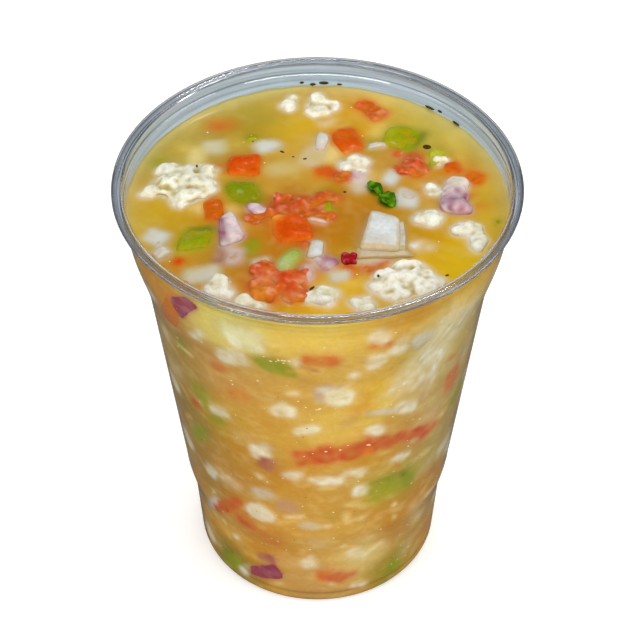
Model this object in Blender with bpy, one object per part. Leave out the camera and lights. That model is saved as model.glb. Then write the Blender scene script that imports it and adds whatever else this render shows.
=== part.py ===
"""Cup of conch salad: a clear thermoformed cup with a rolled rim, filled with diced conch,
peppers, tomato and onion in citrus juice.

Run it with: blender --background --python part.py, or from the text editor.
Two named objects: the cup and the salad. Metres, +Z up, origin at the middle of the foot.
"""

import math
import random

import bmesh
import bpy
from mathutils import Matrix, Vector

MM = 0.001

# The cup, in millimetres: one sheet of clear plastic, drawn down from its rim
CUP_HEIGHT = 120.0
RIM_RADIUS = 49.0
SHEET = 0.45  # thickness
CURL_HALF_WIDTH = 1.35
CURL_HALF_HEIGHT = 0.95
CURL_ENDS_AT = -95.0  # degrees round the curl, where 90 is its top and 0 its outer side
FLARE_FROM = 90.0
FLARE_TO = 109.0
FLARE_OUT = 2.0
WALL_TAPER = 0.118  # outward for each millimetre up
WALL_FOOT_RADIUS = 34.8
SHOULDER_FROM = 20.0
SHOULDER_TO = 32.0
SHOULDER_OUT = 1.3
LOWER_TAPER = 0.07
LOWER_RADIUS = 31.5
HEEL_RADIUS = 3.0
FOOT_RING_INNER = 24.6
PUSH_UP_RADIUS = 20.6
PUSH_UP_HEIGHT = 3.0
CUP_SEGMENTS = 48

# The salad, in millimetres: juice with the pieces that show at its top and through the wall
JUICE_LEVEL = 111.5
CORE_RECESS = 1.5  # from the cup's inner wall to the core that the pieces stand out from
TOUCH_GAP = 0.3
CORE_SEGMENTS = 40
PIECE_DEPTH = 4.5  # least depth of a lump or a dice, down or inward from its outer face
DEPTH_SHARE = 0.8  # its depth against its narrower side
ONION_DEPTH = 3.0
LEAF_DEPTH = 1.6
ONION_BEND = 0.5  # rise of a slice's middle over its ends, in depths
LEAF_BEND = 1.2
CONCH_UNEVEN = 0.14  # most that a corner strays, as a share of the piece
TOMATO_UNEVEN = 0.10
DICE_UNEVEN = 0.10
DICE_EDGE = 0.09  # width of a dice's eased edge, as a share of its side
SLICE_SKEW = 0.12
BLUNTNESS = 0.6  # of a lump's form, from 0 for a ball to 1 for a block
SEED = 11

# Pieces at the surface: kind, x, y, length, width, turn in degrees, height over the juice
SURFACE_PIECES = (
    ("conch", -31.6, 9.2, 15.0, 11.0, -8, 1.2),
    ("conch", -36.4, 13.6, 6.2, 6.4, 10, 1.7),
    ("conch", -27.4, 13.4, 6.4, 6.0, 60, 2.0),
    ("conch", -29.6, 5.4, 9.4, 6.4, -8, 1.9),
    ("conch", -34.0, 1.6, 3.6, 4.4, 30, 0.9),
    ("conch", 20.6, -27.4, 19.0, 9.4, 14, 1.3),
    ("conch", 25.0, -20.8, 8.4, 5.4, 8, 2.2),
    ("conch", 28.0, -24.2, 6.0, 6.6, 40, 2.2),
    ("conch", 19.6, -24.6, 8.0, 6.4, 20, 2.0),
    ("conch", 13.6, -28.0, 8.0, 6.8, -12, 1.9),
    ("conch", 25.9, -4.4, 9.0, 8.0, 5, 1.5),
    ("conch", 35.6, -8.8, 6.0, 6.4, -40, 1.4),
    ("conch", 37.4, -13.6, 5.6, 6.6, -30, 1.4),
    ("conch", 9.0, 17.2, 9.4, 5.8, 20, 1.3),
    ("conch", 1.6, -31.4, 9.4, 6.0, 0, 1.5),
    ("conch", 10.8, -36.0, 6.8, 5.4, 0, 1.3),
    ("conch", -21.6, -30.4, 7.6, 6.2, -20, 1.4),
    ("conch", -15.4, -35.4, 8.0, 5.6, 8, 1.3),
    ("conch", -0.6, -16.0, 4.4, 8.6, -6, 1.1),
    ("conch", 0.8, 39.0, 8.8, 6.8, 28, 0.9),
    ("conch", -6.8, 39.6, 4.8, 6.4, 0, 1.0),
    ("conch", -42.0, 5.2, 3.4, 3.6, 0, 0.6),
    ("conch", 27.8, 6.2, 4.0, 4.4, 0, 1.0),
    ("pepper", -17.8, 14.6, 8.4, 7.4, -2, 0.7),
    ("pepper", 7.1, 24.8, 7.4, 7.6, 24, 0.5),
    ("pepper", -17.6, 5.0, 7.6, 7.4, 6, 0.5),
    ("pepper", -28.8, -12.6, 8.2, 7.4, 2, 0.6),
    ("pepper", 21.2, 24.6, 8.0, 7.4, -18, 0.5),
    ("pepper", -15.2, -14.4, 5.0, 4.8, 30, 0.4),
    ("pepper", -6.7, -19.6, 4.2, 6.0, -30, 0.7),
    ("pepper", -6.2, -9.4, 8.6, 8.2, 4, 1.0),
    ("tomato", -15.4, -4.6, 9.0, 6.4, 34, 1.4),
    ("tomato", -9.6, -1.0, 10.0, 6.4, 8, 1.5),
    ("tomato", -2.4, 0.4, 9.4, 6.8, -10, 1.3),
    ("tomato", -12.2, -25.4, 7.8, 7.4, 34, 1.7),
    ("tomato", -6.8, -29.8, 8.2, 8.8, -30, 1.8),
    ("tomato", -11.8, -31.4, 8.0, 6.6, 12, 1.3),
    ("tomato", 23.7, 15.2, 6.4, 8.8, 10, 1.0),
    ("tomato", 13.2, 37.0, 9.2, 4.4, -34, 0.6),
    ("tomato", -24.4, -2.6, 5.0, 6.0, 12, 0.6),
    ("tomato", 37.6, 10.8, 4.6, 4.2, -30, 0.5),
    ("tomato", 4.6, 11.6, 6.6, 4.4, -10, 0.5),
    ("onion", 16.0, -10.2, 9.0, 12.0, -6, 1.1),
    ("onion", -21.0, -9.0, 5.6, 7.2, 12, 1.1),
    ("onion", 33.0, 4.4, 7.6, 10.4, 18, 1.4),
    ("onion", 2.4, -20.2, 4.2, 5.0, 40, 0.6),
    ("onion", -20.4, -18.2, 7.4, 4.8, -4, 0.6),
    ("onion", -12.0, 22.4, 7.6, 5.2, 32, 0.6),
    ("onion", 0.2, 20.6, 6.2, 11.0, -24, 0.6),
    ("onion", 17.6, 10.6, 5.0, 6.0, -30, 0.5),
    ("onion", 21.8, 2.6, 6.2, 6.6, -20, 0.5),
    ("onion", -26.4, -24.0, 9.4, 6.0, 14, 0.7),
    ("onion", -25.2, 22.4, 6.4, 5.6, 10, 0.6),
    ("onion", -38.0, -12.4, 6.0, 5.0, -50, 0.6),
    ("onion", 10.4, 8.6, 5.2, 5.0, 30, 0.6),
    ("leaf", 15.4, 5.2, 4.8, 7.6, 34, 0.9),
)

# Pieces that show through the wall: kind, angle from the front in degrees, height of the
# middle, length along the wall, height, turn in degrees
WALL_PIECES = (
    ("pepper", -14.0, 101.0, 11.0, 7.0, -8),
    ("onion", 0.0, 104.0, 9.0, 5.0, 0),
    ("onion", -39.0, 107.0, 6.4, 5.0, -30),
    ("tomato", -52.0, 99.0, 7.4, 14.0, 24),
    ("conch", -24.0, 104.6, 9.0, 7.6, -20),
    ("conch", 4.0, 89.0, 9.0, 7.0, 0),
    ("conch", -11.5, 82.4, 10.0, 6.2, -20),
    ("conch", -4.3, 75.6, 10.0, 6.0, -10),
    ("conch", -20.5, 63.8, 7.4, 8.0, 0),
    ("conch", -25.3, 36.0, 9.0, 8.0, 0),
    ("conch", 17.4, 104.0, 10.0, 7.4, 24),
    ("conch", 17.7, 82.0, 12.0, 7.4, 4),
    ("conch", 33.0, 97.0, 12.0, 9.0, 50),
    ("conch", 46.0, 84.0, 12.0, 9.0, 40),
    ("conch", 0.9, 52.6, 14.0, 6.4, 4),
    ("conch", 17.8, 47.4, 10.0, 7.0, 30),
    ("tomato", -2.0, 63.4, 11.0, 7.4, -4),
    ("tomato", 11.0, 65.6, 13.0, 8.0, 0),
    ("tomato", 27.0, 64.0, 13.0, 7.4, -8),
    ("tomato", 44.0, 60.4, 13.0, 6.4, -14),
    ("pepper", -54.0, 55.0, 9.0, 8.0, 10),
    ("pepper", 34.2, 44.1, 7.0, 8.0, -30),
    ("pepper", -47.0, 82.0, 7.4, 9.0, -12),
    ("tomato", -44.3, 33.0, 12.0, 7.4, -24),
    ("tomato", 10.5, 13.1, 11.0, 7.0, 0),
    ("onion", -21.9, 13.0, 6.4, 8.0, 0),
    ("onion", -14.7, 44.4, 8.0, 6.4, 12),
    ("pepper", 37.2, 13.0, 7.6, 6.0, 10),
    ("conch", 0.0, 29.0, 9.0, 7.0, -30),
    ("tomato", -34.0, 71.0, 9.0, 6.4, 30),
    ("conch", 27.0, 27.0, 9.0, 7.0, 20),
    ("conch", 56.0, 33.0, 9.0, 7.0, -20),
    ("pepper", 58.0, 102.0, 8.0, 7.0, 12),
    ("conch", -56.0, 15.0, 8.0, 7.0, 0),
)
ROUND_FROM = 68.0  # degrees: from here round the back, wall pieces are set out by a rule
ROUND_TO = 292.0
ROUND_COLUMNS = 8
ROUND_ROWS = 6
ROUND_KINDS = ("conch", "pepper", "tomato", "conch", "onion", "pepper", "conch")
ROUND_LENGTHS = (8.0, 13.0)
ROUND_HEIGHTS = (6.0, 8.5)
ROUND_TURN = 35.0  # most degrees that one is turned either way
ROUND_STRAY = 0.3  # most that one strays from the middle of its place, as a share of the place

CUP_COLOUR = (0.80, 0.84, 0.86)
SALAD_COLOUR = (0.62, 0.36, 0.05)


def clear_scene():
    """An empty scene to build in."""
    for obj in list(bpy.data.objects):
        bpy.data.objects.remove(obj, do_unlink=True)


def material(name, colour, roughness, alpha=1.0):
    """A plain Principled finish for one object."""
    made = bpy.data.materials.new(name)
    made.use_nodes = True
    shader = made.node_tree.nodes["Principled BSDF"]
    shader.inputs["Base Color"].default_value = (*colour, 1.0)
    shader.inputs["Roughness"].default_value = roughness
    shader.inputs["Metallic"].default_value = 0.0
    shader.inputs["Alpha"].default_value = alpha
    return made


def new_object(name, shape, finish):
    """One object in the scene from a finished bmesh."""
    mesh = bpy.data.meshes.new(name)
    shape.to_mesh(mesh)
    shape.free()
    mesh.materials.append(finish)
    made = bpy.data.objects.new(name, mesh)
    bpy.context.scene.collection.objects.link(made)
    return made


def smooth_step(share):
    """0 to 1 with no slope at either end."""
    share = min(max(share, 0.0), 1.0)
    return share * share * (3.0 - 2.0 * share)


def wall_radius(height):
    """Outer radius of the cup's wall: a stacking shoulder low down and a flare under the rim."""
    if height < SHOULDER_TO:
        straight = LOWER_RADIUS + LOWER_TAPER * (height - HEEL_RADIUS)
        risen = (height - SHOULDER_FROM) / (SHOULDER_TO - SHOULDER_FROM)
        return straight + SHOULDER_OUT * smooth_step(risen)
    straight = WALL_FOOT_RADIUS + WALL_TAPER * (height - SHOULDER_TO)
    risen = (height - FLARE_FROM) / (FLARE_TO - FLARE_FROM)
    return straight + FLARE_OUT * smooth_step(risen)


def spread(first, last, steps):
    """Evenly spaced values from first to last, both included."""
    return [first + (last - first) * i / steps for i in range(steps + 1)]


def wall_heights(top):
    """Heights that follow the wall's curves closely and its straight stretch loosely."""
    heights = spread(HEEL_RADIUS, SHOULDER_FROM, 1)
    heights += spread(SHOULDER_FROM, SHOULDER_TO, 3)[1:]
    heights += spread(SHOULDER_TO, FLARE_FROM, 2)[1:]
    heights += spread(FLARE_FROM, FLARE_TO, 4)[1:]
    return [height for height in heights if height < top] + [top]


def push_up_path():
    """Middle line of the sheet from the axis out to the foot ring, with the base pushed up."""
    slope = 0.5 * (PUSH_UP_RADIUS + FOOT_RING_INNER)
    path = [(0.0, PUSH_UP_HEIGHT), (PUSH_UP_RADIUS, PUSH_UP_HEIGHT)]
    return path + [(slope, 0.5 * PUSH_UP_HEIGHT), (FOOT_RING_INNER, 0.5 * SHEET)]


def heel_arc(inset, reach):
    """The rounded heel from the foot ring to the wall, moved inward by inset."""
    centre = LOWER_RADIUS - HEEL_RADIUS - inset
    turns = [math.radians(angle) for angle in spread(-90.0, 0.0, 4)]
    return [(centre + reach * math.cos(a), HEEL_RADIUS + reach * math.sin(a)) for a in turns]


def sheet_path():
    """Middle line of the cup's sheet: base, wall, then over and round the rolled rim."""
    curl_width = CURL_HALF_WIDTH - 0.5 * SHEET
    curl_height = CURL_HALF_HEIGHT - 0.5 * SHEET
    middle = (RIM_RADIUS - CURL_HALF_WIDTH, CUP_HEIGHT - CURL_HALF_HEIGHT)
    path = push_up_path() + heel_arc(0.0, HEEL_RADIUS - 0.5 * SHEET)
    for height in wall_heights(middle[1] - CURL_HALF_HEIGHT)[1:]:
        path.append((wall_radius(height) - 0.5 * SHEET, height))
    for angle in spread(180.0, 0.0, 6) + spread(0.0, CURL_ENDS_AT, 3)[1:]:
        turn = math.radians(angle)
        path.append((middle[0] + curl_width * math.cos(turn), middle[1] + curl_height * math.sin(turn)))
    return path


def offset(path, distance):
    """The path moved sideways, to its left for a distance over 0."""
    moved = []
    for i, (radius, height) in enumerate(path):
        before = path[max(i - 1, 0)]
        after = path[min(i + 1, len(path) - 1)]
        along = Vector((after[0] - before[0], after[1] - before[1])).normalized()
        across = (radius - distance * along.y, height + distance * along.x)
        moved.append((0.0, across[1]) if i == 0 else across)
    return moved


def turned(profile, segments):
    """A solid turned about the Z axis from a profile that starts and ends on it."""
    shape = bmesh.new()
    points = [shape.verts.new((radius * MM, 0.0, height * MM)) for radius, height in profile]
    edges = [shape.edges.new(pair) for pair in zip(points, points[1:])]
    bmesh.ops.spin(
        shape,
        geom=points + edges,
        cent=(0.0, 0.0, 0.0),
        axis=(0.0, 0.0, 1.0),
        angle=2.0 * math.pi,
        steps=segments,
        use_duplicate=False,
    )
    bmesh.ops.remove_doubles(shape, verts=shape.verts, dist=0.001 * MM)
    bmesh.ops.recalc_face_normals(shape, faces=shape.faces)
    return shape


def build_cup():
    """The clear cup, one sheet with its rim rolled outward."""
    path = sheet_path()
    inner = offset(path, 0.5 * SHEET)
    outer = offset(path, -0.5 * SHEET)
    shape = turned(inner + outer[::-1], CUP_SEGMENTS)
    cup = new_object("cup", shape, material("clear_plastic", CUP_COLOUR, 0.05, 0.35))
    cup.data.shade_smooth()
    cup.data.set_sharp_from_angle(angle=math.radians(40.0))


def room(height):
    """Radius that a piece of salad may reach at a height, clear of the faceted wall."""
    facet = math.cos(math.pi / CUP_SEGMENTS)
    if height < HEEL_RADIUS + SHEET:
        return facet * (LOWER_RADIUS - SHEET) - TOUCH_GAP - CORE_RECESS
    return facet * (wall_radius(height) - SHEET) - TOUCH_GAP


def core_profile():
    """Outline of the juice, from its middle at the base to its middle at the surface."""
    heel = heel_arc(CORE_RECESS - TOUCH_GAP, HEEL_RADIUS - SHEET - TOUCH_GAP)
    floor = offset(push_up_path() + heel[:1], 0.5 * SHEET + TOUCH_GAP)[:-1]
    wall = [(wall_radius(z) - SHEET - CORE_RECESS, z) for z in wall_heights(JUICE_LEVEL)[1:]]
    return floor + heel + wall + [(0.0, JUICE_LEVEL)]


def wobble(points, draw, amount):
    """Each point moved a little, so that no two pieces are alike."""
    for point in points:
        point.co *= 1.0 + draw.uniform(-amount, amount)


def lump(draw, uneven):
    """An uneven rounded lump, 1 across, blunter than a ball."""
    shape = bmesh.new()
    bmesh.ops.create_uvsphere(shape, u_segments=8, v_segments=5, radius=0.5)
    for point in shape.verts:
        farthest = max(abs(share) for share in point.co) / 0.5
        point.co *= farthest ** -BLUNTNESS
    wobble(shape.verts, draw, uneven)
    return shape


def dice(draw):
    """A cut cube with eased edges and corners that aren't square, 1 across."""
    shape = bmesh.new()
    bmesh.ops.create_cube(shape, size=1.0)
    wobble(shape.verts, draw, DICE_UNEVEN)
    bmesh.ops.bevel(shape, geom=shape.edges[:], offset=DICE_EDGE, segments=1, affect="EDGES")
    return shape


def slab(draw, bend, stations=4):
    """A bent slice with square cut ends, 1 across: an onion layer or a leaf."""
    shape = bmesh.new()
    lean = draw.uniform(-SLICE_SKEW, SLICE_SKEW)
    rows = []
    for share in spread(-0.5, 0.5, stations):
        drop = bend * (share * share - 0.25)
        half = 0.5 + lean * share
        corners = ((share, -half, -0.5), (share, half, -0.5), (share, half, 0.5), (share, -half, 0.5))
        rows.append([shape.verts.new((x, y, z - drop)) for x, y, z in corners])
    shape.faces.new(rows[0])
    shape.faces.new(rows[-1][::-1])
    for near, far in zip(rows, rows[1:]):
        for i in range(4):
            shape.faces.new((near[i], far[i], far[i - 3], near[i - 3]))
    bmesh.ops.triangulate(shape, faces=shape.faces)
    bmesh.ops.recalc_face_normals(shape, faces=shape.faces)
    return shape


def piece_shape(kind, draw):
    """The plain form of one kind of piece, 1 across, with its shown face up."""
    if kind == "conch":
        return lump(draw, CONCH_UNEVEN)
    if kind == "tomato":
        return lump(draw, TOMATO_UNEVEN)
    if kind == "pepper":
        return dice(draw)
    if kind == "onion":
        return slab(draw, ONION_BEND)
    return slab(draw, LEAF_BEND)


def piece_depth(kind, length, width):
    """Lumps and dice are about as deep as they are wide, a slice is thin."""
    if kind == "leaf":
        return LEAF_DEPTH
    if kind == "onion":
        return ONION_DEPTH
    return max(PIECE_DEPTH, DEPTH_SHARE * min(length, width))


def inside_cup(shape):
    """Moves a piece inward as far as it needs to stay clear of the wall."""
    excess = max(math.hypot(v.co.x, v.co.y) / MM - room(v.co.z / MM) for v in shape.verts)
    if excess > 0.0:
        inward = sum((v.co for v in shape.verts), Vector()) / len(shape.verts)
        inward.z = 0.0
        bmesh.ops.translate(shape, verts=shape.verts, vec=-inward.normalized() * excess * MM)


def surface_piece(row, draw):
    """One piece at the surface, standing out of the juice by its height."""
    kind, x, y, length, width, turn, proud = row
    depth = piece_depth(kind, length, width)
    shape = piece_shape(kind, draw)
    place = Matrix.Translation(Vector((x, y, JUICE_LEVEL + proud - 0.5 * depth)) * MM)
    size = Matrix.Diagonal((length * MM, width * MM, depth * MM, 1.0))
    shape.transform(place @ Matrix.Rotation(math.radians(turn), 4, "Z") @ size)
    inside_cup(shape)
    return shape


def wall_piece(row, draw):
    """One piece that lies against the inside of the wall, its shown face outward."""
    kind, angle, height, length, tall, turn = row
    depth = piece_depth(kind, length, tall)
    shape = piece_shape(kind, draw)
    outward = wall_radius(height) + 0.5 * depth
    stand = Matrix.Rotation(math.radians(90.0), 4, "X")
    size = Matrix.Diagonal((length * MM, tall * MM, depth * MM, 1.0))
    place = Matrix.Translation(Vector((0.0, -outward, height)) * MM)
    lean = Matrix.Rotation(math.radians(turn), 4, "Y")
    around = Matrix.Rotation(math.radians(angle), 4, "Z")
    shape.transform(around @ place @ lean @ stand @ size)
    inside_cup(shape)
    return shape


def round_the_back(draw):
    """Wall pieces where the front list has none, in uneven columns and rows."""
    rows = []
    column_step = (ROUND_TO - ROUND_FROM) / ROUND_COLUMNS
    row_step = (JUICE_LEVEL - 2.0 * HEEL_RADIUS) / ROUND_ROWS
    for column in range(ROUND_COLUMNS):
        for level in range(ROUND_ROWS):
            kind = ROUND_KINDS[(2 * column + level) % len(ROUND_KINDS)]
            across = column + 0.5 + draw.uniform(-ROUND_STRAY, ROUND_STRAY)
            up = level + 0.5 + draw.uniform(-ROUND_STRAY, ROUND_STRAY)
            angle = ROUND_FROM + column_step * across
            height = 2.0 * HEEL_RADIUS + row_step * up
            size = (draw.uniform(*ROUND_LENGTHS), draw.uniform(*ROUND_HEIGHTS))
            rows.append((kind, angle, height, *size, draw.uniform(-ROUND_TURN, ROUND_TURN)))
    return rows


def build_salad():
    """The juice up to its level with every piece that shows joined to it."""
    draw = random.Random(SEED)
    finish = material("salad", SALAD_COLOUR, 0.25)
    salad = new_object("salad", turned(core_profile(), CORE_SEGMENTS), finish)
    shapes = [surface_piece(row, draw) for row in SURFACE_PIECES]
    shapes += [wall_piece(row, draw) for row in WALL_PIECES]
    shapes += [wall_piece(row, draw) for row in round_the_back(draw)]
    pieces = bpy.data.collections.new("pieces")
    for i, shape in enumerate(shapes):
        piece = new_object(f"piece_{i}", shape, finish)
        bpy.context.scene.collection.objects.unlink(piece)
        pieces.objects.link(piece)
    join = salad.modifiers.new("join", "BOOLEAN")
    join.operation = "UNION"
    join.operand_type = "COLLECTION"
    join.collection = pieces
    join.solver = "MANIFOLD"
    graph = bpy.context.evaluated_depsgraph_get()
    joined = bpy.data.meshes.new_from_object(salad.evaluated_get(graph))
    joined.name = "salad"
    salad.modifiers.remove(join)
    salad.data = joined
    for piece in list(pieces.objects):
        bpy.data.objects.remove(piece, do_unlink=True)
    bpy.data.collections.remove(pieces)
    salad.data.set_sharp_from_angle(angle=math.radians(40.0))


clear_scene()
build_cup()
build_salad()
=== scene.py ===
"""The looks of a clear cup of conch salad: diced conch, peppers, tomato and onion in citrus juice."""

import math
import random

import bmesh
import bpy
import numpy as np
from mathutils import Matrix, Vector, noise
from mathutils.bvhtree import BVHTree


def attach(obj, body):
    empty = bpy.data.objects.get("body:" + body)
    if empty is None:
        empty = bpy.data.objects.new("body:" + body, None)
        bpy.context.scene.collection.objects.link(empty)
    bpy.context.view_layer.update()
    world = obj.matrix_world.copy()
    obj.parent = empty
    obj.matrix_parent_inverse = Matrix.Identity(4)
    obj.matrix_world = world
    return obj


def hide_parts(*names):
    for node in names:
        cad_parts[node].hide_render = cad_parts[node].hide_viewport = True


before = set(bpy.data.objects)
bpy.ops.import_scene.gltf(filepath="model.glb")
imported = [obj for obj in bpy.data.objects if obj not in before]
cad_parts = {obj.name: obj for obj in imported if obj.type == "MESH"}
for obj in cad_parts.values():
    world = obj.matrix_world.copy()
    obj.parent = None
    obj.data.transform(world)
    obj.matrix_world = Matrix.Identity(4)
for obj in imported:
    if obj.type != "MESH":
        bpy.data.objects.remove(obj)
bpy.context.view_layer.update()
MM = 0.001

# ---------------------------------------------------------------------------------------------
# The cup: one sheet of PET, thermoformed over a mould, with its rim rolled outward to stiffen
# it. A stacking shoulder low down and a flare under the rim are drawn in with the wall, and it
# stands on the ring round its pushed-up base. All sizes are in millimetres.

CUP_HEIGHT = 120.0
RIM_RADIUS = 49.0
SHEET = 0.45
CURL_HALF_WIDTH = 1.35
CURL_HALF_HEIGHT = 0.95
CURL_ENDS_AT = -95.0
FLARE_FROM, FLARE_TO, FLARE_OUT = 90.0, 109.0, 2.0
WALL_TAPER, WALL_FOOT_RADIUS = 0.118, 34.8
SHOULDER_FROM, SHOULDER_TO, SHOULDER_OUT = 20.0, 32.0, 1.3
LOWER_TAPER, LOWER_RADIUS, HEEL_RADIUS = 0.07, 31.5, 3.0
FOOT_RING_INNER = 24.6
PUSH_UP_RADIUS, PUSH_UP_HEIGHT = 20.6, 3.0
CUP_SEGMENTS = 256
BASE_STEPS, WALL_STEPS, MOUTH_STEPS, CURL_STEPS = 9, 80, 26, 34  # rings of points along the sheet
FLAT_RADIUS = 10.0  # of the base's flat middle
PET_ROUGHNESS, PET_IOR = 0.04, 1.57
PET_WETTED, PET_DRY = "FAF9F5", "F0F1F4"  # where juice lies behind it, and where air does
DRY_FROM, DRY_OVER = 111.5, 2.0
DRY_LINE_SHADE = 0.72  # how dark the painted shade on the thin lines round the dry part gets
# how many of each lie in a metre along x, y and z: lines 1 mm apart that run round the cup,
# and waves 9 mm across and 29 mm high
RING_LINES, DRAWN_WAVES = (28.0, 28.0, 950.0), (110.0, 110.0, 35.0)
LINE_DEPTH, WAVE_DEPTH = 0.12, 0.4
BEADS = ((116.2, 0.45, 0.2),)  # height, half height and depth of the rings under the rim
BEADS_FROM = 114.2


def smooth_step(share):
    """0 to 1 with no slope at either end."""
    share = np.clip(share, 0.0, 1.0)
    return share * share * (3.0 - 2.0 * share)


def wall_radius(height):
    """Outer radius of the wall at a height or at an array of heights."""
    height = np.asarray(height, float)
    risen = (height - SHOULDER_FROM) / (SHOULDER_TO - SHOULDER_FROM)
    lower = LOWER_RADIUS + LOWER_TAPER * (height - HEEL_RADIUS) + SHOULDER_OUT * smooth_step(risen)
    risen = (height - FLARE_FROM) / (FLARE_TO - FLARE_FROM)
    upper = WALL_FOOT_RADIUS + WALL_TAPER * (height - SHOULDER_TO) + FLARE_OUT * smooth_step(risen)
    for middle, tall, deep in BEADS:
        upper = upper + deep * np.exp(-(((height - middle) / tall) ** 2))
    return np.where(height < SHOULDER_TO, lower, upper)


def base_path():
    """Middle line of the sheet from the axis to the top of the heel."""
    fall = np.linspace(0.0, 1.0, BASE_STEPS)
    radius = PUSH_UP_RADIUS + (FOOT_RING_INNER - PUSH_UP_RADIUS) * fall
    height = PUSH_UP_HEIGHT + (0.5 * SHEET - PUSH_UP_HEIGHT) * smooth_step(fall)
    path = [(0.0, PUSH_UP_HEIGHT), (FLAT_RADIUS, PUSH_UP_HEIGHT), *zip(radius, height)]
    centre, reach = LOWER_RADIUS - HEEL_RADIUS, HEEL_RADIUS - 0.5 * SHEET
    for angle in np.radians(np.linspace(-90.0, 0.0, BASE_STEPS)):
        path.append((centre + reach * math.cos(angle), HEEL_RADIUS + reach * math.sin(angle)))
    return path


def sheet_path():
    """Middle line of the whole sheet: base, wall, then over and round the rolled rim."""
    middle = (RIM_RADIUS - CURL_HALF_WIDTH, CUP_HEIGHT - CURL_HALF_HEIGHT)
    low = np.linspace(HEEL_RADIUS, BEADS_FROM, WALL_STEPS)[1:]
    top = middle[1] - 0.6 * CURL_HALF_HEIGHT
    heights = np.append(low, np.linspace(BEADS_FROM, top, MOUTH_STEPS)[1:])
    path = base_path() + list(zip(wall_radius(heights) - 0.5 * SHEET, heights))
    wide, tall = CURL_HALF_WIDTH - 0.5 * SHEET, CURL_HALF_HEIGHT - 0.5 * SHEET
    for angle in np.radians(np.linspace(180.0, CURL_ENDS_AT, CURL_STEPS)):
        path.append((middle[0] + wide * math.cos(angle), middle[1] + tall * math.sin(angle)))
    return np.array(path)


def offset(path, distance):
    """The path moved sideways, to its left for a distance over 0."""
    along = np.gradient(path, axis=0)
    along /= np.linalg.norm(along, axis=1)[:, None]
    moved = path + distance * np.column_stack([-along[:, 1], along[:, 0]])
    moved[0, 0] = 0.0
    return moved


def turned(profile, counts):
    """Points and faces of a form turned about Z. Its profile starts and ends on the axis, and
    each ring between has its own count of points: its neighbour's, or half or double that."""
    points, starts = [(0.0, 0.0, profile[0][1])], []
    for (radius, height), count in zip(profile[1:-1], counts):
        turn = 2.0 * np.pi * np.arange(count) / count
        starts.append(len(points))
        points.extend(zip(radius * np.cos(turn), radius * np.sin(turn), [height] * count))
    points.append((0.0, 0.0, profile[-1][1]))
    faces = []
    first, last = counts[0], counts[-1]
    faces += [(0, starts[0] + k, starts[0] + (k + 1) % first) for k in range(first)]
    for a, b, m, n in zip(starts, starts[1:], counts, counts[1:]):
        if m == n:
            faces += [(a + k, b + k, b + (k + 1) % n, a + (k + 1) % n) for k in range(n)]
            continue
        coarse, fine, count = (a, b, m) if m < n else (b, a, n)
        for k in range(count):
            u, v = coarse + k, coarse + (k + 1) % count
            p, q, r = fine + 2 * k, fine + 2 * k + 1, fine + (2 * k + 2) % (2 * count)
            fan = [(u, p, q), (u, q, v), (v, q, r)]
            faces += fan if m < n else [(face[0], face[2], face[1]) for face in fan]
    a, end = starts[-1], len(points) - 1
    faces += [(a + k, end, a + (k + 1) % last) for k in range(last)]
    return np.array(points), faces


def mesh_object(name, points, faces, tint=None):
    """A smooth object from points in millimetres, with a colour for each point if given."""
    mesh = bpy.data.meshes.new(name)
    mesh.from_pydata((np.asarray(points) * MM).tolist(), [], [list(map(int, face)) for face in faces])
    if tint is not None:
        colour = mesh.attributes.new("tint", "FLOAT_COLOR", "POINT")
        flat = np.ones((len(points), 4), np.float32)
        flat[:, :3] = tint
        colour.data.foreach_set("color", flat.ravel())
    mesh.shade_smooth()
    made = bpy.data.objects.new(name, mesh)
    bpy.context.scene.collection.objects.link(made)
    return made


def linear(code):
    """Linear red, green, blue and alpha of an sRGB hex code."""
    shares = [int(code[i : i + 2], 16) / 255.0 for i in (0, 2, 4)]
    return [s / 12.92 if s <= 0.04045 else ((s + 0.055) / 1.055) ** 2.4 for s in shares] + [1.0]


def add(tree, kind, links=None, **settings):
    """Adds a node with its settings. links gives a socket a value or another node's output."""
    made = tree.nodes.new(kind)
    for name, value in settings.items():
        setattr(made, name, value)
    for socket, value in (links or {}).items():
        if isinstance(value, bpy.types.NodeSocket):
            tree.links.new(value, made.inputs[socket])
        else:
            made.inputs[socket].default_value = value
    return made


def new_material(name):
    """An empty material: its node tree and its Principled shader."""
    made = bpy.data.materials.new(name)
    made.use_nodes = True
    return made, made.node_tree, made.node_tree.nodes["Principled BSDF"]


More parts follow.
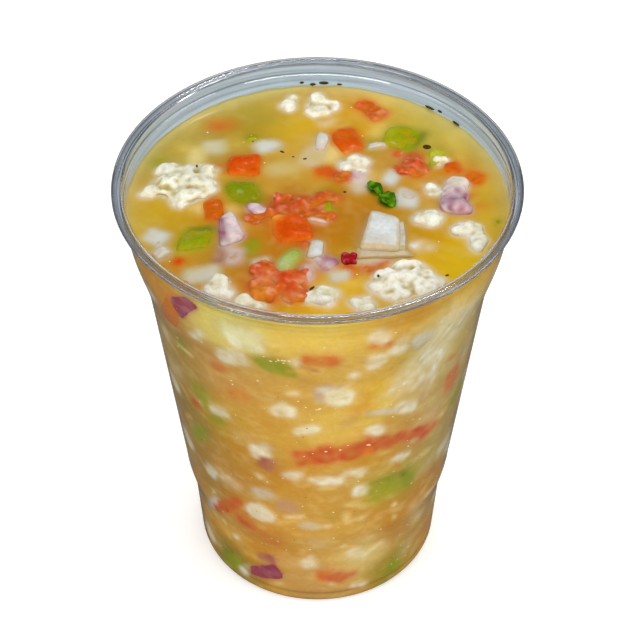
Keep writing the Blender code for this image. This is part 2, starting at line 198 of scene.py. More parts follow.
def thermoformed_pet():
    """Clear PET film: glass-bright but with the slight waves of a drawn sheet, which bend the
    lines seen through it. Dry, it is painted a faint bluish grey, with painted shade on thin lines
    round it, standing in for the dim room it shows, most where the rolled rim stacks several
    layers; where juice wets its back it is left nearly clear, lost in the juice's colour."""
    made, tree, shader = new_material("thermoformed_pet")
    shader.inputs["Transmission Weight"].default_value = 1.0
    shader.inputs["Roughness"].default_value = PET_ROUGHNESS
    shader.inputs["IOR"].default_value = PET_IOR
    place = add(tree, "ShaderNodeTexCoord").outputs["Object"]
    height = add(tree, "ShaderNodeSeparateXYZ", {0: place})
    low, high = DRY_FROM * MM, (DRY_FROM + DRY_OVER) * MM
    dry = add(tree, "ShaderNodeMapRange", {0: height.outputs[2], 1: low, 2: high, 3: 0.0, 4: 1.0})
    links = {0: dry.outputs[0], 6: linear(PET_WETTED), 7: linear(PET_DRY)}
    tint = add(tree, "ShaderNodeMix", links, data_type="RGBA")
    ringed = add(tree, "ShaderNodeMapping", {"Vector": place, "Scale": RING_LINES})
    lines = add(tree, "ShaderNodeTexNoise", {"Vector": ringed.outputs[0], "Scale": 1.0, "Detail": 2.0})
    # painted shade along the thin lines, where the wall is dry
    line_shade = add(tree, "ShaderNodeMapRange", {0: lines.outputs[0], 1: 0.35, 2: 0.6, 3: DRY_LINE_SHADE, 4: 1.0})
    shade = add(tree, "ShaderNodeMix", {0: dry.outputs[0], 2: 1.0, 3: line_shade.outputs[0]})
    colour = add(tree, "ShaderNodeVectorMath", {0: tint.outputs[2]}, operation="SCALE")
    tree.links.new(shade.outputs[0], colour.inputs["Scale"])
    tree.links.new(colour.outputs[0], shader.inputs["Base Color"])
    drawn = add(tree, "ShaderNodeMapping", {"Vector": place, "Scale": DRAWN_WAVES})
    waves = add(tree, "ShaderNodeTexNoise", {"Vector": drawn.outputs[0], "Scale": 1.0, "Detail": 2.0})
    links = {"Strength": 0.25, "Distance": WAVE_DEPTH * MM, "Height": waves.outputs[0]}
    wavy = add(tree, "ShaderNodeBump", links).outputs[0]
    links = {"Strength": 0.35, "Distance": LINE_DEPTH * MM, "Height": lines.outputs[0], "Normal": wavy}
    rings = add(tree, "ShaderNodeBump", links)
    tree.links.new(rings.outputs[0], shader.inputs["Normal"])
    return made


middle_line = sheet_path()
inside, outside = offset(middle_line, 0.5 * SHEET), offset(middle_line, -0.5 * SHEET)
cup_profile = np.vstack([inside, outside[::-1]])
cup = mesh_object("pet_cup", *turned(cup_profile, [CUP_SEGMENTS] * (len(cup_profile) - 2)))
cup.data.materials.append(thermoformed_pet())
cup.visible_shadow = False  # film this thin and clear casts next to none
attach(cup, "root")
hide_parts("cup")

# ---------------------------------------------------------------------------------------------
# The conch: raw meat chopped small, so it is white, lumpy and curd-like, in chunks of 4 to
# 8 mm that cling together in two large clusters. Each chunk is made of small torn blocks fused
# to one skin, and is wet with juice; its crevices carry painted shade, yellow like the juice
# that gathers in them.

JUICE_LEVEL = 111.5
SKIN_IN_WALL = 0.1  # the juice reaches this far into the wall, so that no air gap shows
POKES_PAST_SKIN = 0.06  # a piece pressed to the wall stands this far past the juice
SOFT_AT_WALL = 0.12  # and one with a film of juice before it stays this far behind it
FACE_AT = 0.38  # a rounded form's face lies this share of its depth from its middle
JUICE_FILM, FILM_FROM, FILM_TO = "C08214", 1.2, -0.5  # its colour, and heights over the juice
WET_GLOSS = 0.06
VOXEL = 0.42  # of the fused pieces
CLEAR_OF_WALL, NEAR_TOP = 2.0, 3.0  # where a point counts as lying at the open surface
FLESH_SHADES = (0.3, 0.7, 0.9, 1.08)  # the range of the fine noise, and the shades it turns to
# torn pieces: share of its place that the core fills, spread and lift of the blocks round it as
# shares of the place, how far they tip in radians, and the fewest
TORN_CORE, TORN_SPREAD, TORN_LIFT, TORN_TIP, TORN_LEAST = 0.86, 0.38, 0.24, 0.35, 4
CONCH_WHITE, CONCH_CREVICE_SHADE, CONCH_FLESH, CONCH_SKIN = "EAECE3", "B09A40", "DAD4B4", "CDBF9A"
# least and most width and depth of a block, and its length over its width
CONCH_SPANS = (0.5, 0.95, 1.6, 3.0, 1.2)
# square millimetres to a block, its sharpness, spans and spin in radians, and a chunk's depth
CONCH_TEARS = (9.0, 2.8, CONCH_SPANS, 2.0, 2.0)

# x, y, length, width, turn in degrees, height of its top over the juice
CONCH_ON_TOP = (
    (-32.4, 8.6, 13.4, 10.8, 0, 0.8), (-36.2, 12.8, 4.8, 6, 10, 2.1), (-31.2, 12, 4.2, 7, -8, 2.5),
    (-26.8, 12.2, 4.6, 6.6, 14, 2.4), (-33.6, 8.8, 8.4, 5, 20, 2.4),
    (-28.2, 7.8, 6.6, 5.4, -25, 2.6), (-37.6, 8.4, 4.2, 4.8, 40, 1.5),
    (-30.6, 4.6, 8.4, 4.4, -8, 2), (-35.4, 5, 4.4, 3.4, 20, 1.3), (-34, 1, 3.2, 4, 30, 0.9),
    (20.4, -27.6, 15.4, 8, 6, 0.8), (20.8, -21.6, 9.6, 2.6, 8, 2.4), (15.6, -25.6, 6.4, 5, -10, 2),
    (20.8, -26.2, 6.4, 5.4, 10, 2.4), (25.4, -25.2, 5.2, 5, 30, 2.1),
    (13.4, -28.6, 6, 4.4, -12, 1.5), (18.8, -31.2, 8.4, 4.2, 8, 1.5),
    (24, -29.6, 6.2, 4.4, 20, 1.5), (27.8, -28, 3.2, 3.4, 40, 0.9), (35.4, -8.8, 5.6, 7, -35, 1.3),
    (37.8, -13.4, 5, 7.4, -30, 1.3), (9.6, 16.4, 9, 5.2, 22, 0.7), (1.6, -31.4, 10, 5.4, 6, 1.5),
    (10.8, -35, 7, 4.8, 0, 1.3), (-22.2, -30.2, 8.4, 5.6, -20, 1.4),
    (-15.6, -34.6, 8.6, 5, -8, 1.3), (-6.6, 40, 4, 6.4, 0, 0.7), (0.8, 38.8, 8.4, 6.4, 30, 0.9),
    (30.2, 16.2, 4.6, 3.6, 20, 0.6), (27.8, 5.4, 4.6, 4.4, 0, 1), (-41.6, 4.4, 3.4, 3.6, 0, 0.5),
    (2.4, 33, 7.4, 4.4, 20, -0.5), (25.2, -14.4, 7.4, 3.8, -10, -0.1),
)
# x, y, radius, colour and share of what some places on top are touched with
CONCH_SPOTS = ((20.0, -27.0, 9.0, "F6F4EA", 0.8), (-32.0, 8.0, 9.0, "DADAC2", 0.6))
# plump smooth pieces: x, y, length, width, turn, height, depth
CONCH_OVALS = ((26.4, -4.6, 8.2, 6.6, 5, 1.5, 4.4), (9.8, 16.0, 7.6, 4.6, 14, 1.3, 3.6))
# angle from the front in degrees, height, length, width, turn, depth behind the juice's skin
CONCH_AT_WALL = (
    (-21, 106.2, 9.4, 4.6, 12, 0.3), (-27, 99.2, 8.4, 5.6, -12, 0.15),
    (-39, 102, 10.4, 2, -52, 0.35), (-6.2, 102, 2.8, 3.6, 0, 0.15),
    (-37.2, 73.7, 6.4, 3.4, -30, 0.3), (-11.4, 82, 7.4, 4.2, -14, 0.15),
    (-3.8, 75.3, 7.6, 3.4, -20, 0.1), (6, 88.4, 7.4, 6, 0, 0.3), (17.9, 109.4, 6.4, 4, 16, 0.4),
    (18.1, 100.3, 6.4, 5, 0, 0.2), (25.1, 103.4, 3.6, 7.4, 12, 0.3), (11.5, 95.7, 2.2, 3.8, 0, 0.1),
    (32.1, 77, 6.4, 4.4, 30, 0.1), (20.8, 72.3, 4.4, 4, 0, 0.3), (-20.1, 63.5, 5.4, 4.8, 0, 0.4),
    (-48.1, 44.2, 3.4, 8, 24, 0.3), (-24, 37.3, 8.4, 5.4, -16, 0.15), (-8.8, 56.7, 6, 3.4, 0, 0.4),
    (3.4, 54.6, 11.4, 3.6, 8, 0.1), (13.4, 56.4, 7.4, 3.2, 14, 0.2),
    (16.8, 48.6, 3.4, 5.4, -28, 0.2), (-38.3, 5.6, 2.6, 2.8, 0, 0.2),
    (-3.9, 18.1, 4.8, 4.2, 0, 0.5), (19.4, 19.7, 7.4, 4.6, 20, 0.9), (20.5, 5.6, 4.4, 2.4, 0, 0.5),
    (32.4, 56.9, 5.4, 2.8, 8, 0.4), (-40.4, 19.4, 2, 2.4, 0, 0.2),
)
# the strips of conch skin pressed in folds to the wall: angle, height, length, width, turn
CONCH_SKINS = ((40.5, 95.0, 34.0, 17.0, 66), (150.0, 70.0, 26.0, 14.0, 50))
FOLD_DEPTH, EDGE_DEPTH, SKIN_THICK = 1.5, 2.2, 0.5
SKIN_ROWS, SKIN_COLUMNS = 90, 60


def skin_radius(height):
    """Radius of the juice where it meets the wall."""
    return wall_radius(np.maximum(height, HEEL_RADIUS)) - SHEET + SKIN_IN_WALL


def at_surface(x, y, length, width, turn, proud, deep, lean=(0.0, 0.0)):
    """Takes a form 1 across to its place at the surface; lean tips it back and to its right."""
    place = Matrix.Translation((x, y, JUICE_LEVEL + proud - 0.5 * deep))
    turned_to = Matrix.Rotation(math.radians(turn), 4, "Z")
    back, right = (Matrix.Rotation(math.radians(lean[i]), 4, "XY"[i]) for i in range(2))
    return place @ turned_to @ (back @ right) @ Matrix.Diagonal((length, width, deep, 1.0))


def at_wall(angle, height, length, tall, turn, behind, deep):
    """Takes a form 1 across to its place inside the wall, its top turned to the outside."""
    outward = float(skin_radius(height)) - behind - FACE_AT * deep
    stood = Matrix.Rotation(math.radians(turn), 4, "Y") @ Matrix.Rotation(math.radians(90.0), 4, "X")
    place = Matrix.Rotation(math.radians(angle), 4, "Z") @ Matrix.Translation((0.0, -outward, height))
    return place @ stood @ Matrix.Diagonal((length, tall, deep, 1.0))


def moved(points, matrix):
    """Points taken through a matrix."""
    grid = np.array(matrix)
    return points @ grid[:3, :3].T + grid[:3, 3]


def kept_in(points, behind):
    """Points pressed flat where they would pass the juice's skin, less a depth behind it."""
    radius = np.hypot(points[:, 0], points[:, 1])
    limit = skin_radius(points[:, 2]) - behind
    share = np.minimum(1.0, limit / np.maximum(radius, 1e-6))
    return np.column_stack([points[:, 0] * share, points[:, 1] * share, points[:, 2]])


def set_in(points, matrix, behind):
    """Points taken through a matrix and kept behind the skin."""
    return kept_in(moved(points, matrix), behind)


def taken(shape):
    """The points and faces of a finished form, which is then freed."""
    points = np.array([v.co[:] for v in shape.verts])
    faces = np.array([[v.index for v in face.verts] for face in shape.faces])
    shape.free()
    return points, faces


def ball(cuts):
    """Points and faces of a ball 1 across."""
    shape = bmesh.new()
    bmesh.ops.create_icosphere(shape, subdivisions=cuts, radius=0.5)
    return taken(shape)


def merged(parts):
    """One list of points and faces, and of colours where the parts have them, from several."""
    starts = np.cumsum([0] + [len(part[0]) for part in parts[:-1]])
    points = np.vstack([part[0] for part in parts])
    faces = np.vstack([part[1] + start for part, start in zip(parts, starts)])
    colours = np.vstack([part[2] for part in parts]) if len(parts[0]) > 2 else None
    return points, faces, colours


def block(cuts, power):
    """Points and faces of a cube 1 across with rounded edges, sharper for a higher power."""
    shape = bmesh.new()
    bmesh.ops.create_cube(shape, size=2.0)
    bmesh.ops.subdivide_edges(shape, edges=shape.edges[:], cuts=cuts, use_grid_fill=True)
    bmesh.ops.triangulate(shape, faces=shape.faces)
    points, faces = taken(shape)
    points /= np.sum(np.abs(points) ** power, axis=1)[:, None] ** (1.0 / power)
    return 0.5 * points, faces


def torn(draw, matrix, crowd, power, spans, spin, behind):
    """Torn flesh: small soft-edged blocks, tipped every way, in the place that a matrix gives."""
    grid, centre = np.array(matrix)[:3, :3], np.array(matrix)[:3, 3]
    sizes = np.linalg.norm(grid, axis=0)
    unit = Matrix((grid / sizes).tolist()).to_4x4()
    least = float(min(sizes[0], sizes[1]))
    shape, faces = block(3, power)
    parts = [(set_in(shape * TORN_CORE, matrix, behind), faces)]
    for _ in range(TORN_LEAST + int(sizes[0] * sizes[1] / crowd)):
        away, turn = TORN_SPREAD * math.sqrt(draw.random()), draw.uniform(0.0, 2.0 * math.pi)
        lift = draw.uniform(0.0, TORN_LIFT)
        spot = np.array([away * math.cos(turn), away * math.sin(turn), lift])
        wide = [least * draw.uniform(spans[0], spans[1]) for _ in range(2)]
        size = (wide[0] * spans[4], wide[1] / spans[4], draw.uniform(spans[2], spans[3]))
        tipped = unit
        for axis, most in (("Z", spin), ("X", TORN_TIP), ("Y", TORN_TIP)):
            tipped = tipped @ Matrix.Rotation(draw.gauss(0.0, most), 4, axis)
        made = moved(shape, tipped @ Matrix.Diagonal((*size, 1.0))) + centre + grid @ spot
        parts.append((kept_in(made, behind), faces))
    return merged(parts)[:2]


def fused(parts):
    """The parts' outer skin as one mesh: its points and its triangles."""
    made = mesh_object("fused", *merged(parts)[:2])
    remesh = made.modifiers.new("fuse", "REMESH")
    remesh.mode = "VOXEL"
    remesh.voxel_size = VOXEL * MM
    mesh = made.evaluated_get(bpy.context.evaluated_depsgraph_get()).to_mesh()
    mesh.calc_loop_triangles()
    points = np.empty(len(mesh.vertices) * 3)
    mesh.vertices.foreach_get("co", points)
    faces = np.empty(len(mesh.loop_triangles) * 3, int)
    mesh.loop_triangles.foreach_get("vertices", faces)
    data = made.data
    bpy.data.objects.remove(made)
    bpy.data.meshes.remove(data)
    return points.reshape(-1, 3) / MM, faces.reshape(-1, 3)


def edge_means(points, faces):
    """Each point's neighbours' mean."""
    ends = np.vstack([faces[:, [0, 1]], faces[:, [1, 2]], faces[:, [2, 0]]])
    total, count = np.zeros_like(points), np.zeros(len(points))
    for near, far in ((ends[:, 0], ends[:, 1]), (ends[:, 1], ends[:, 0])):
        np.add.at(total, near, points[far])
        np.add.at(count, near, 1.0)
    return total / np.maximum(count, 1.0)[:, None]


def smoothed(points, faces, passes):
    """Points drawn towards their neighbours, which rounds every crevice and crest."""
    for _ in range(passes):
        points = 0.5 * (points + edge_means(points, faces))
    return points


def normals(points, faces):
    """A unit normal for each point."""
    corners = points[faces]
    flat = np.cross(corners[:, 1] - corners[:, 0], corners[:, 2] - corners[:, 0])
    total = np.zeros_like(points)
    for i in range(3):
        np.add.at(total, faces[:, i], flat)
    return total / np.maximum(np.linalg.norm(total, axis=1), 1e-12)[:, None]


def ripple(points, size, seed):
    """Smooth noise from -1 to 1 at each point, its lumps about size across."""
    shift = Vector((13.7 * seed, 7.1 * seed, 3.3 * seed))
    return np.array([noise.noise(Vector(p) + shift) for p in (points / size).tolist()])


def roughened(points, faces, waves, seed, behind=-POKES_PAST_SKIN):
    """Points pushed out and in by noise of several sizes, each (size, height)."""
    out = normals(points, faces)
    push = sum(height * ripple(points, size, seed + i) for i, (size, height) in enumerate(waves))
    return kept_in(points + out * push[:, None], behind)


def hollowness(points, faces, reach):
    """How far each point lies in a crevice, -1 to 1, where reach millimetres count as all."""
    means = points
    for _ in range(4):
        means = edge_means(means, faces)
    return np.clip(np.sum((means - points) * normals(points, faces), axis=1) / reach, -1.0, 1.0)


def mixed(first, second, share):
    """Colours between two, each a row or one for each point."""
    share = np.clip(share, 0.0, 1.0)[:, None]
    return np.asarray(first)[..., :3] * (1.0 - share) + np.asarray(second)[..., :3] * share


def on_surface(points):
    """Which points belong to pieces at the open surface, not to those pressed to the wall."""
    radius = np.hypot(points[:, 0], points[:, 1])
    clear = radius < skin_radius(points[:, 2]) - CLEAR_OF_WALL
    return clear & (points[:, 2] > JUICE_LEVEL - NEAR_TOP)


def soaked(points, tint, share=0.75, film_from=FILM_FROM):
    """Colours that turn to the juice's own down to its surface, where its film runs up a piece."""
    low = smooth_step((JUICE_LEVEL + film_from - points[:, 2]) / (film_from - FILM_TO))
    wet = share * low * on_surface(points) * (0.8 + 0.5 * ripple(points, 1.6, 29))
    return mixed(tint, linear(JUICE_FILM), wet)


def touched(points, tint, spots):
    """Colours pulled to the ones seen near some places on top: x, y, radius, colour, share."""
    for x, y, radius, code, share in spots:
        near = np.exp(-((points[:, 0] - x) ** 2 + (points[:, 1] - y) ** 2) / radius**2)
        tint = mixed(tint, linear(code), share * near * on_surface(points))
    return tint


def touched_at_wall(points, tint, spots):
    """The same at the wall: angle, height, radius, colour, share."""
    angles = np.degrees(np.arctan2(points[:, 0], -points[:, 1]))
    for angle, height, radius, code, share in spots:
        across = np.radians(angles - angle) * skin_radius(points[:, 2])
        near = np.exp(-(across**2 + (points[:, 2] - height) ** 2) / radius**2)
        tint = mixed(tint, linear(code), share * near * ~on_surface(points))
    return tint


def past_skin(behind):
    """How far behind the skin a piece at the wall is kept. One with no depth may stand out until
    it has its rough surface, and is pressed flat then."""
    return behind if behind > 0.0 else -1.0


def torn_pieces(draw, on_top, on_wall, crowd, power, spans, spin, deep):
    """All torn pieces of a kind, one block for each crowd square millimetres or so."""
    parts = []
    for x, y, length, width, turn, proud in on_top:
        matrix = at_surface(x, y, length, width, turn, proud, 2.0 * max(proud, 0.6) + deep)
        parts.append(torn(draw, matrix, crowd, power, spans, spin, 0.5))
    for angle, height, length, tall, turn, behind in on_wall:
        matrix = at_wall(angle, height, length, tall, turn, behind, deep + 1.2)
        parts.append(torn(draw, matrix, crowd, power, spans, spin, past_skin(behind)))
    return parts


def thick_sheet(front, back, rows, columns):
    """A closed sheet from its two sides, each a grid of rows and columns of points."""
    n = np.arange(rows * columns).reshape(rows, columns)
    side = np.stack([n[:-1, :-1], n[1:, :-1], n[1:, 1:], n[:-1, 1:]], -1).reshape(-1, 4)
    faces = [side, side[:, ::-1] + n.size]
    for line, flip in ((n[0, :], 1), (n[-1, :], -1), (n[:, 0], -1), (n[:, -1], 1)):
        strip = np.stack([line[:-1], line[1:], line[1:] + n.size, line[:-1] + n.size], -1)
        faces.append(strip[:, ::flip])
    faces = np.vstack(faces)
    return np.vstack([front, back]), np.vstack([faces[:, [0, 1, 2]], faces[:, [0, 2, 3]]])


def folded_skin(angle, height, length, width, turn, seed):
    """A strip in folds along its length, its crests at the wall and its edges lost in the juice."""
    spans = np.linspace(-0.5, 0.5, SKIN_ROWS), np.linspace(-0.5, 0.5, SKIN_COLUMNS)
    u, v = (grid.ravel() for grid in np.meshgrid(*spans, indexing="ij"))
    lean = math.radians(turn)
    along = u * length * math.cos(lean) - v * width * math.sin(lean)
    up = height + u * length * math.sin(lean) + v * width * math.cos(lean)
    folds = np.column_stack([u * length * 0.2, v * width * 0.7, np.zeros(len(u))])
    deep = 0.45 + 1.1 * ripple(folds, 1.0, seed)
    deep = np.clip(deep + 0.6 * ripple(folds * 2.1, 1.0, seed + 1), 0.0, 1.2)
    edge = smooth_step((np.maximum(np.abs(u), np.abs(v)) - 0.3) / 0.2)
    radius = skin_radius(up) + POKES_PAST_SKIN - FOLD_DEPTH * deep - EDGE_DEPTH * edge
    spin = math.radians(angle) + along / radius
    across, back = np.sin(spin), -np.cos(spin)
    sides = [np.column_stack([r * across, r * back, up]) for r in (radius, radius - SKIN_THICK)]
    return thick_sheet(*sides, SKIN_ROWS, SKIN_COLUMNS)


def conch_tint(points, faces):
    """White flesh, with painted shade in the crevices, yellow like the juice there, and the juice's
    yellow down at the surface.
    """
    # painted shade in the crevices, yellow like the juice that gathers there
    crevice = 0.36 + 0.8 * hollowness(points, faces, 0.22) + 0.3 * ripple(points, 2.5, 31)
    colour = mixed(linear(CONCH_WHITE), linear(CONCH_FLESH), 0.45 + 0.9 * ripple(points, 3.2, 33))
    colour = touched(points, colour, CONCH_SPOTS)
    crevice = 0.85 * np.clip(crevice, 0.0, 1.0) ** 1.5
    return soaked(points, mixed(colour, linear(CONCH_CREVICE_SHADE), crevice), 0.5)


def wet_surface(name, pattern, shades, values):
    """A wet surface coloured by its points and shaded by a fine noise. pattern is the noise's
    settings, shades the range of it that counts and what it turns to, values the shader's."""
    made, tree, shader = new_material(name)
    tint = add(tree, "ShaderNodeAttribute", attribute_name="tint")
    place = add(tree, "ShaderNodeTexCoord").outputs["Object"]
    grain = add(tree, "ShaderNodeTexNoise", {"Vector": place, **pattern}).outputs[0]
    shade = add(tree, "ShaderNodeMapRange", {0: grain, **dict(enumerate(shades, 1))})
    colour = add(tree, "ShaderNodeVectorMath", {0: tint.outputs["Color"]}, operation="SCALE")
    tree.links.new(shade.outputs[0], colour.inputs["Scale"])
    tree.links.new(colour.outputs[0], shader.inputs["Base Color"])
    for socket, value in values.items():
        shader.inputs[socket].default_value = value
    return made, tree, shader, grain


def wet_flesh(name, roughness, glow, depth, grain, relief):
    """Wet soft food: its own colour from its points, a juice film's gloss, light that scatters a
    little under the skin, and a fine grain in its surface. Sizes are in millimetres."""
    values = {
        "Roughness": roughness,
        "Specular IOR Level": WET_GLOSS,
        "Subsurface Weight": glow,
        "Subsurface Radius": (1.0, 0.7, 0.4),
        "Subsurface Scale": depth * MM,
    }
    pattern = {"Scale": 1000.0 / grain, "Detail": 3.0}
    made, tree, shader, fine = wet_surface(name, pattern, FLESH_SHADES, values)
    links = {"Strength": 0.5, "Distance": relief * MM, "Height": fine}
    bump = add(tree, "ShaderNodeBump", links)
    tree.links.new(bump.outputs[0], shader.inputs["Normal"])
    return made


def dressed(name, points, faces, tint, finish):
    """One kind of piece as an object in its finish."""
    made = mesh_object(name, points, faces, tint)
    made.data.materials.append(finish)
    return made


draw = random.Random(5)
sunk = []  # points, faces and colours of everything that tints the juice from under its skin
parts = torn_pieces(draw, CONCH_ON_TOP, CONCH_AT_WALL, *CONCH_TEARS)
shape, faces = ball(4)
parts += [(moved(shape, at_surface(*row)), faces) for row in CONCH_OVALS]
points, faces = fused(parts)
points = roughened(smoothed(points, faces, 3), faces, ((3.2, 0.6), (1.5, 0.26)), 41, SOFT_AT_WALL)
parts = [(points, faces, conch_tint(points, faces))]
for seed, row in enumerate(CONCH_SKINS):
    points, faces = folded_skin(*row, 44 + 3 * seed)
    tint = mixed(linear(CONCH_SKIN), linear(CONCH_WHITE), 0.5 + ripple(points, 2.0, 43))
    parts.append((points, faces, tint))
sunk.append(merged(parts))
# firm white meat, half matt and faintly see-through
finish = wet_flesh("raw_conch", roughness=0.2, glow=0.25, depth=1.2, grain=0.6, relief=0.12)
conch = dressed("conch", *sunk[-1], finish)
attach(conch, "root")

# ---------------------------------------------------------------------------------------------
# The peppers: sweet pepper walls diced into squares of 7 to 9 mm, orange-red and green. The
# skin side is darker and smooth, the cut flesh paler. Some float flat, some lie tipped so that
# one edge sinks in the juice.

# depth, sharpness of the edges, bend and skew of a piece
ORANGE_CUT, GREEN_CUT = (4.2, 4.6, 0.12, 0.13), (4.2, 4.2, 0.12, 0.22)
CUT_STEPS = 8  # cuts that divide each side of a piece's mesh
# the flesh, and the painted highlight along the edges on one side
ORANGE_FLESH, ORANGE_EDGE_HIGHLIGHT = "CA4600", "E88A34"
GREEN_FLESH, GREEN_SKIN, GREEN_PALE = "8A9604", "4A6A02", "A6AE24"

# x, y, length, width, turn, height over the juice, tip back, tip right
ORANGE_ON_TOP = (
    (-18, 14.5, 9.6, 8.8, -2, 0.8, 3, 0), (7.1, 24.8, 7.8, 9, 24, 0.6, -2, 0),
    (-6.2, -9, 8.8, 10.4, 4, 1.1, 3, 0), (33.2, 14.7, 4.6, 4.6, 10, 0.2, 0, 8),
    (38.2, 10.4, 5.2, 5.6, -30, 0.3, 0, 0), (-24.4, -2.4, 5, 7, 8, 0.7, 6, -6),
    (-32.5, -20.1, 3.6, 3.4, 20, 0.2, 0, 0), (-23.9, 30.9, 9.4, 5.4, 10, -1.4, 0, 0),
    (1.6, 13.2, 5.6, 5.4, 10, -0.3, 0, 0), (12.6, 38.4, 6, 5, -34, 0.1, 0, 0),
    (6.8, -23, 4.6, 5.6, 0, -0.6, 0, 0),
)
# x, y, radius, colour and share; the first is jelly on the big piece with a painted glint on it
ORANGE_SPOTS = (
    (-10.2, -4.6, 1.8, "F2A43A", 0.9), (-24.4, -2.4, 4.5, "BC600C", 0.7),
    (-17.8, 14.9, 6, "CC4400", 0.5),
)
GREEN_ON_TOP = (
    (-17.9, 5, 8.4, 9.4, 184, 0.6, -3, 0), (-28.7, -12.6, 8.6, 8.6, 0, 0.7, -9, 0),
    (21.2, 24.9, 9.6, 8, -112, 0.4, -6, 0), (29.2, 18, 4, 5.8, 180, 0.7, 0, 0),
    (-15.2, -14.5, 5, 6.4, 20, -0.1, 0, 0), (-6.9, -19.6, 4, 6.4, -34, 0.5, 0, 0),
    (-16.5, 25.7, 4, 1.8, 0, 0.3, 0, 0), (2.6, -0.6, 2.6, 3.6, 30, 0.5, 0, 0),
    (43, -6.2, 1.4, 2.2, 0, 0.3, 0, 0),
)
# angle, height, radius, colour and share of what some places at the wall are touched with
ORANGE_WALL_SPOTS = (
    (-49, 104, 14, "CE8418", 0.9), (-27.5, 83.2, 6, "D08A3A", 0.7),
    (-41.5, 33.2, 12, "C4561A", 0.6),
)
GREEN_SPOTS = (
    (-6.2, -18.6, 4.5, "9CC468", 0.85), (-8.2, -21.6, 2.5, "B4C890", 0.8),
    (29.2, 18, 4, "BEC23A", 0.8), (-17.9, 5, 6, "628206", 0.8), (-15.2, -14.5, 4, "868A12", 0.6),
)
# angle, height, length, width, turn, depth behind the juice's skin
ORANGE_AT_WALL = (
    (-49.8, 104.6, 5.4, 18, 24, -0.3), (-0.5, 103.4, 8.8, 4.4, 4, 0.45),
    (-27.5, 83.2, 6, 4.4, -10, 1.1), (-49.2, 70, 3, 3, 0, 0.3), (-41.5, 33.2, 4.2, 17, 44, 0.25),
    (3.2, 12.6, 4.4, 5, 0, 0.6), (18.4, 106.6, 6.4, 1.8, 6, 0.4), (55, 76, 6, 9, 0, 0.8),
)
GREEN_AT_WALL = (
    (-13.8, 99.6, 9.8, 8, -4, 0.1), (-51.3, 91, 4, 9, 10, 0.5), (-45.2, 77, 5.4, 8, 14, 0.4),
    (-38.6, 69, 6, 3.8, -26, 0.5), (-51, 58, 4, 12, 34, 0.15), (28.5, 47.6, 8, 6.4, 0, 0.8),
    (38, 45.6, 3.6, 8, -20, 0.2), (23.4, 43.9, 3.4, 3.2, 0, 0.5), (37.1, 7.9, 5, 6.4, -30, 0.3),
    (-45.7, 7.4, 9, 6, -40, 0.3),
)


def cut_piece(draw, cuts, power, bend, skew):
    """A cut block: rounded, each corner off its place, and bent as the wall that it came from."""
    points, faces = block(cuts, power)
    x, y, z = points.T.copy()
    for side in (-1.0, 1.0):
        for end in (-1.0, 1.0):
            near = (0.5 + side * points[:, 0]) * (0.5 + end * points[:, 1])
            x += near * draw.uniform(-skew, skew)
            y += near * draw.uniform(-skew, skew)
    return np.column_stack([x, y, z + bend * (0.25 - x * x)]), faces


def diced(draw, on_top, on_wall, deep, power, bend, skew):
    """Cut pieces in their places: points, faces, and each point's place in its own piece."""
    parts = []
    for x, y, length, width, turn, proud, back, right in on_top:
        shape, faces = cut_piece(draw, CUT_STEPS, power, bend, skew)
        matrix = at_surface(x, y, length, width, turn, proud, deep, (back, right))
        parts.append((set_in(shape, matrix, 0.5), faces, shape))
    for angle, height, length, tall, turn, behind in on_wall:
        shape, faces = cut_piece(draw, CUT_STEPS, power, bend, skew)
        matrix = at_wall(angle, height, length, tall, turn, behind, deep)
        parts.append((set_in(shape, matrix, past_skin(behind)), faces, shape))
    return merged(parts)


points, faces, own = diced(draw, ORANGE_ON_TOP, ORANGE_AT_WALL, *ORANGE_CUT)
points = roughened(points, faces, ((3.0, 0.5), (1.4, 0.14)), 51)
rim = np.max(np.abs(own[:, :2]), axis=1)
# a painted highlight along the cut edges on one side of each piece
lit_edge = smooth_step((rim - 0.4) / 0.1) * smooth_step(0.5 - 2.0 * own[:, 0])
tint = mixed(linear(ORANGE_FLESH), linear(ORANGE_EDGE_HIGHLIGHT), 0.7 * lit_edge + 0.35 * ripple(points, 2.0, 52))
tint = touched_at_wall(points, touched(points, tint, ORANGE_SPOTS), ORANGE_WALL_SPOTS)
sunk.append((points, faces, tint))
# crisp flesh under a film of juice: glossy, with little light in it
finish = wet_flesh("diced_orange_pepper", roughness=0.12, glow=0.1, depth=1.0, grain=0.8, relief=0.06)
orange_pepper = dressed("orange_pepper", points, faces, soaked(points, tint), finish)
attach(orange_pepper, "root")

points, faces, own = diced(draw, GREEN_ON_TOP, GREEN_AT_WALL, *GREEN_CUT)
points = roughened(points, faces, ((3.0, 0.45), (1.3, 0.12)), 53, SOFT_AT_WALL)
tint = mixed(linear(GREEN_FLESH), linear(GREEN_SKIN), smooth_step((own[:, 1] - 0.28) / 0.2))
pale = 0.5 * smooth_step((-own[:, 1] - 0.2) / 0.3) + 0.3 * ripple(points, 3.5, 54)
tint = touched(points, mixed(tint, linear(GREEN_PALE), pale), GREEN_SPOTS)
sunk.append((points, faces, tint))
# the same crisp flesh as the orange one
finish = wet_flesh("diced_green_pepper", roughness=0.12, glow=0.1, depth=1.0, grain=0.8, relief=0.06)
green_pepper = dressed("green_pepper", points, faces, soaked(points, tint), finish)
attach(green_pepper, "root")
